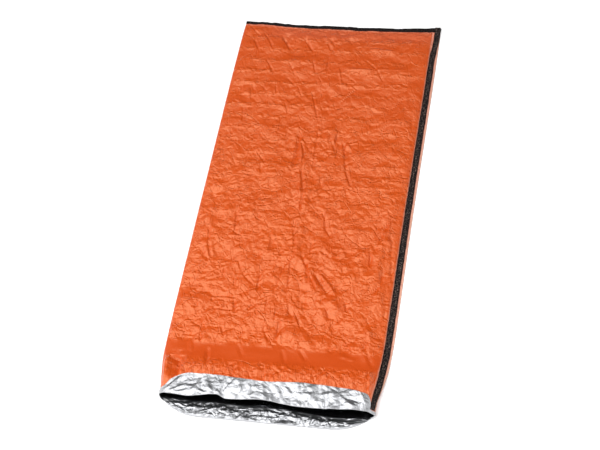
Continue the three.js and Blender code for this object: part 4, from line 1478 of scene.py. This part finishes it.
def stage(colours):
    """Plain pale floor, soft light and the camera."""
    mesh = bpy.data.meshes.new("floor")
    bm = bmesh.new()
    bmesh.ops.create_grid(bm, x_segments=1, y_segments=1, size=FLOOR_HALF)
    bm.to_mesh(mesh)
    bm.free()
    link(mesh, "floor", material("matt painted board", floor_surface, colours))
    lamp("key", (-2.4, -0.8, 4.4), (0, -0.1, 0), 6.0, 195)
    lamp("fill left", (-2.6, -3.2, 2.8), (0, 0, 0), 2.6, 125, mirrored=False)
    lamp("fill right", (3.2, -1.6, 2.4), (0, 0, 0), 2.6, 68, mirrored=False)
    room()
    bpy.context.scene.view_settings.view_transform = "Standard"
    camera()


class BAG_OT_stage(bpy.types.Operator):
    """Make the floor, the lights and the camera"""

    bl_idname = "bag.stage"
    bl_label = "Stage"

    def execute(self, context):
        stage(context.scene.bag_colours)
        return {"FINISHED"}


class BAG_OT_film(bpy.types.Operator):
    """Make the film sheet with its cuff"""

    bl_idname = "bag.film"
    bl_label = "Film sheet"

    def execute(self, context):
        film_sheet(context.scene.bag_sizes, context.scene.bag_colours)
        return {"FINISHED"}


class BAG_OT_tapes(bpy.types.Operator):
    """Make the side tape and the foot binding"""

    bl_idname = "bag.tapes"
    bl_label = "Tapes"

    def execute(self, context):
        side_tape(context.scene.bag_sizes, context.scene.bag_colours)
        foot_binding(context.scene.bag_sizes, context.scene.bag_colours)
        return {"FINISHED"}


STEPS = ("bag.stage", "bag.film", "bag.tapes")


class BAG_PT_panel(bpy.types.Panel):
    """Lists the bag's sizes, colours and steps"""

    bl_label = "Sleeping bag"
    bl_idname = "BAG_PT_panel"
    bl_space_type = "VIEW_3D"
    bl_region_type = "UI"
    bl_category = "Bag"

    def draw(self, context):
        for group in (context.scene.bag_sizes, context.scene.bag_colours):
            for name in group.__annotations__:
                self.layout.prop(group, name)
        for step in STEPS:
            self.layout.operator(step)


CLASSES = (BagSizes, BagColours, BAG_OT_stage, BAG_OT_film, BAG_OT_tapes, BAG_PT_panel)


def register():
    """Registers the classes and gives the scene its sizes and colours."""
    for cls in CLASSES:
        bpy.utils.register_class(cls)
    bpy.types.Scene.bag_sizes = PointerProperty(type=BagSizes)
    bpy.types.Scene.bag_colours = PointerProperty(type=BagColours)


def unregister():
    """Takes the sizes, colours and classes away again."""
    del bpy.types.Scene.bag_colours
    del bpy.types.Scene.bag_sizes
    for cls in reversed(CLASSES):
        bpy.utils.unregister_class(cls)


def main():
    """Builds the whole bag."""
    register()
    bpy.ops.bag.stage()
    bpy.ops.bag.film()
    bpy.ops.bag.tapes()


if __name__ == "__main__":
    main()
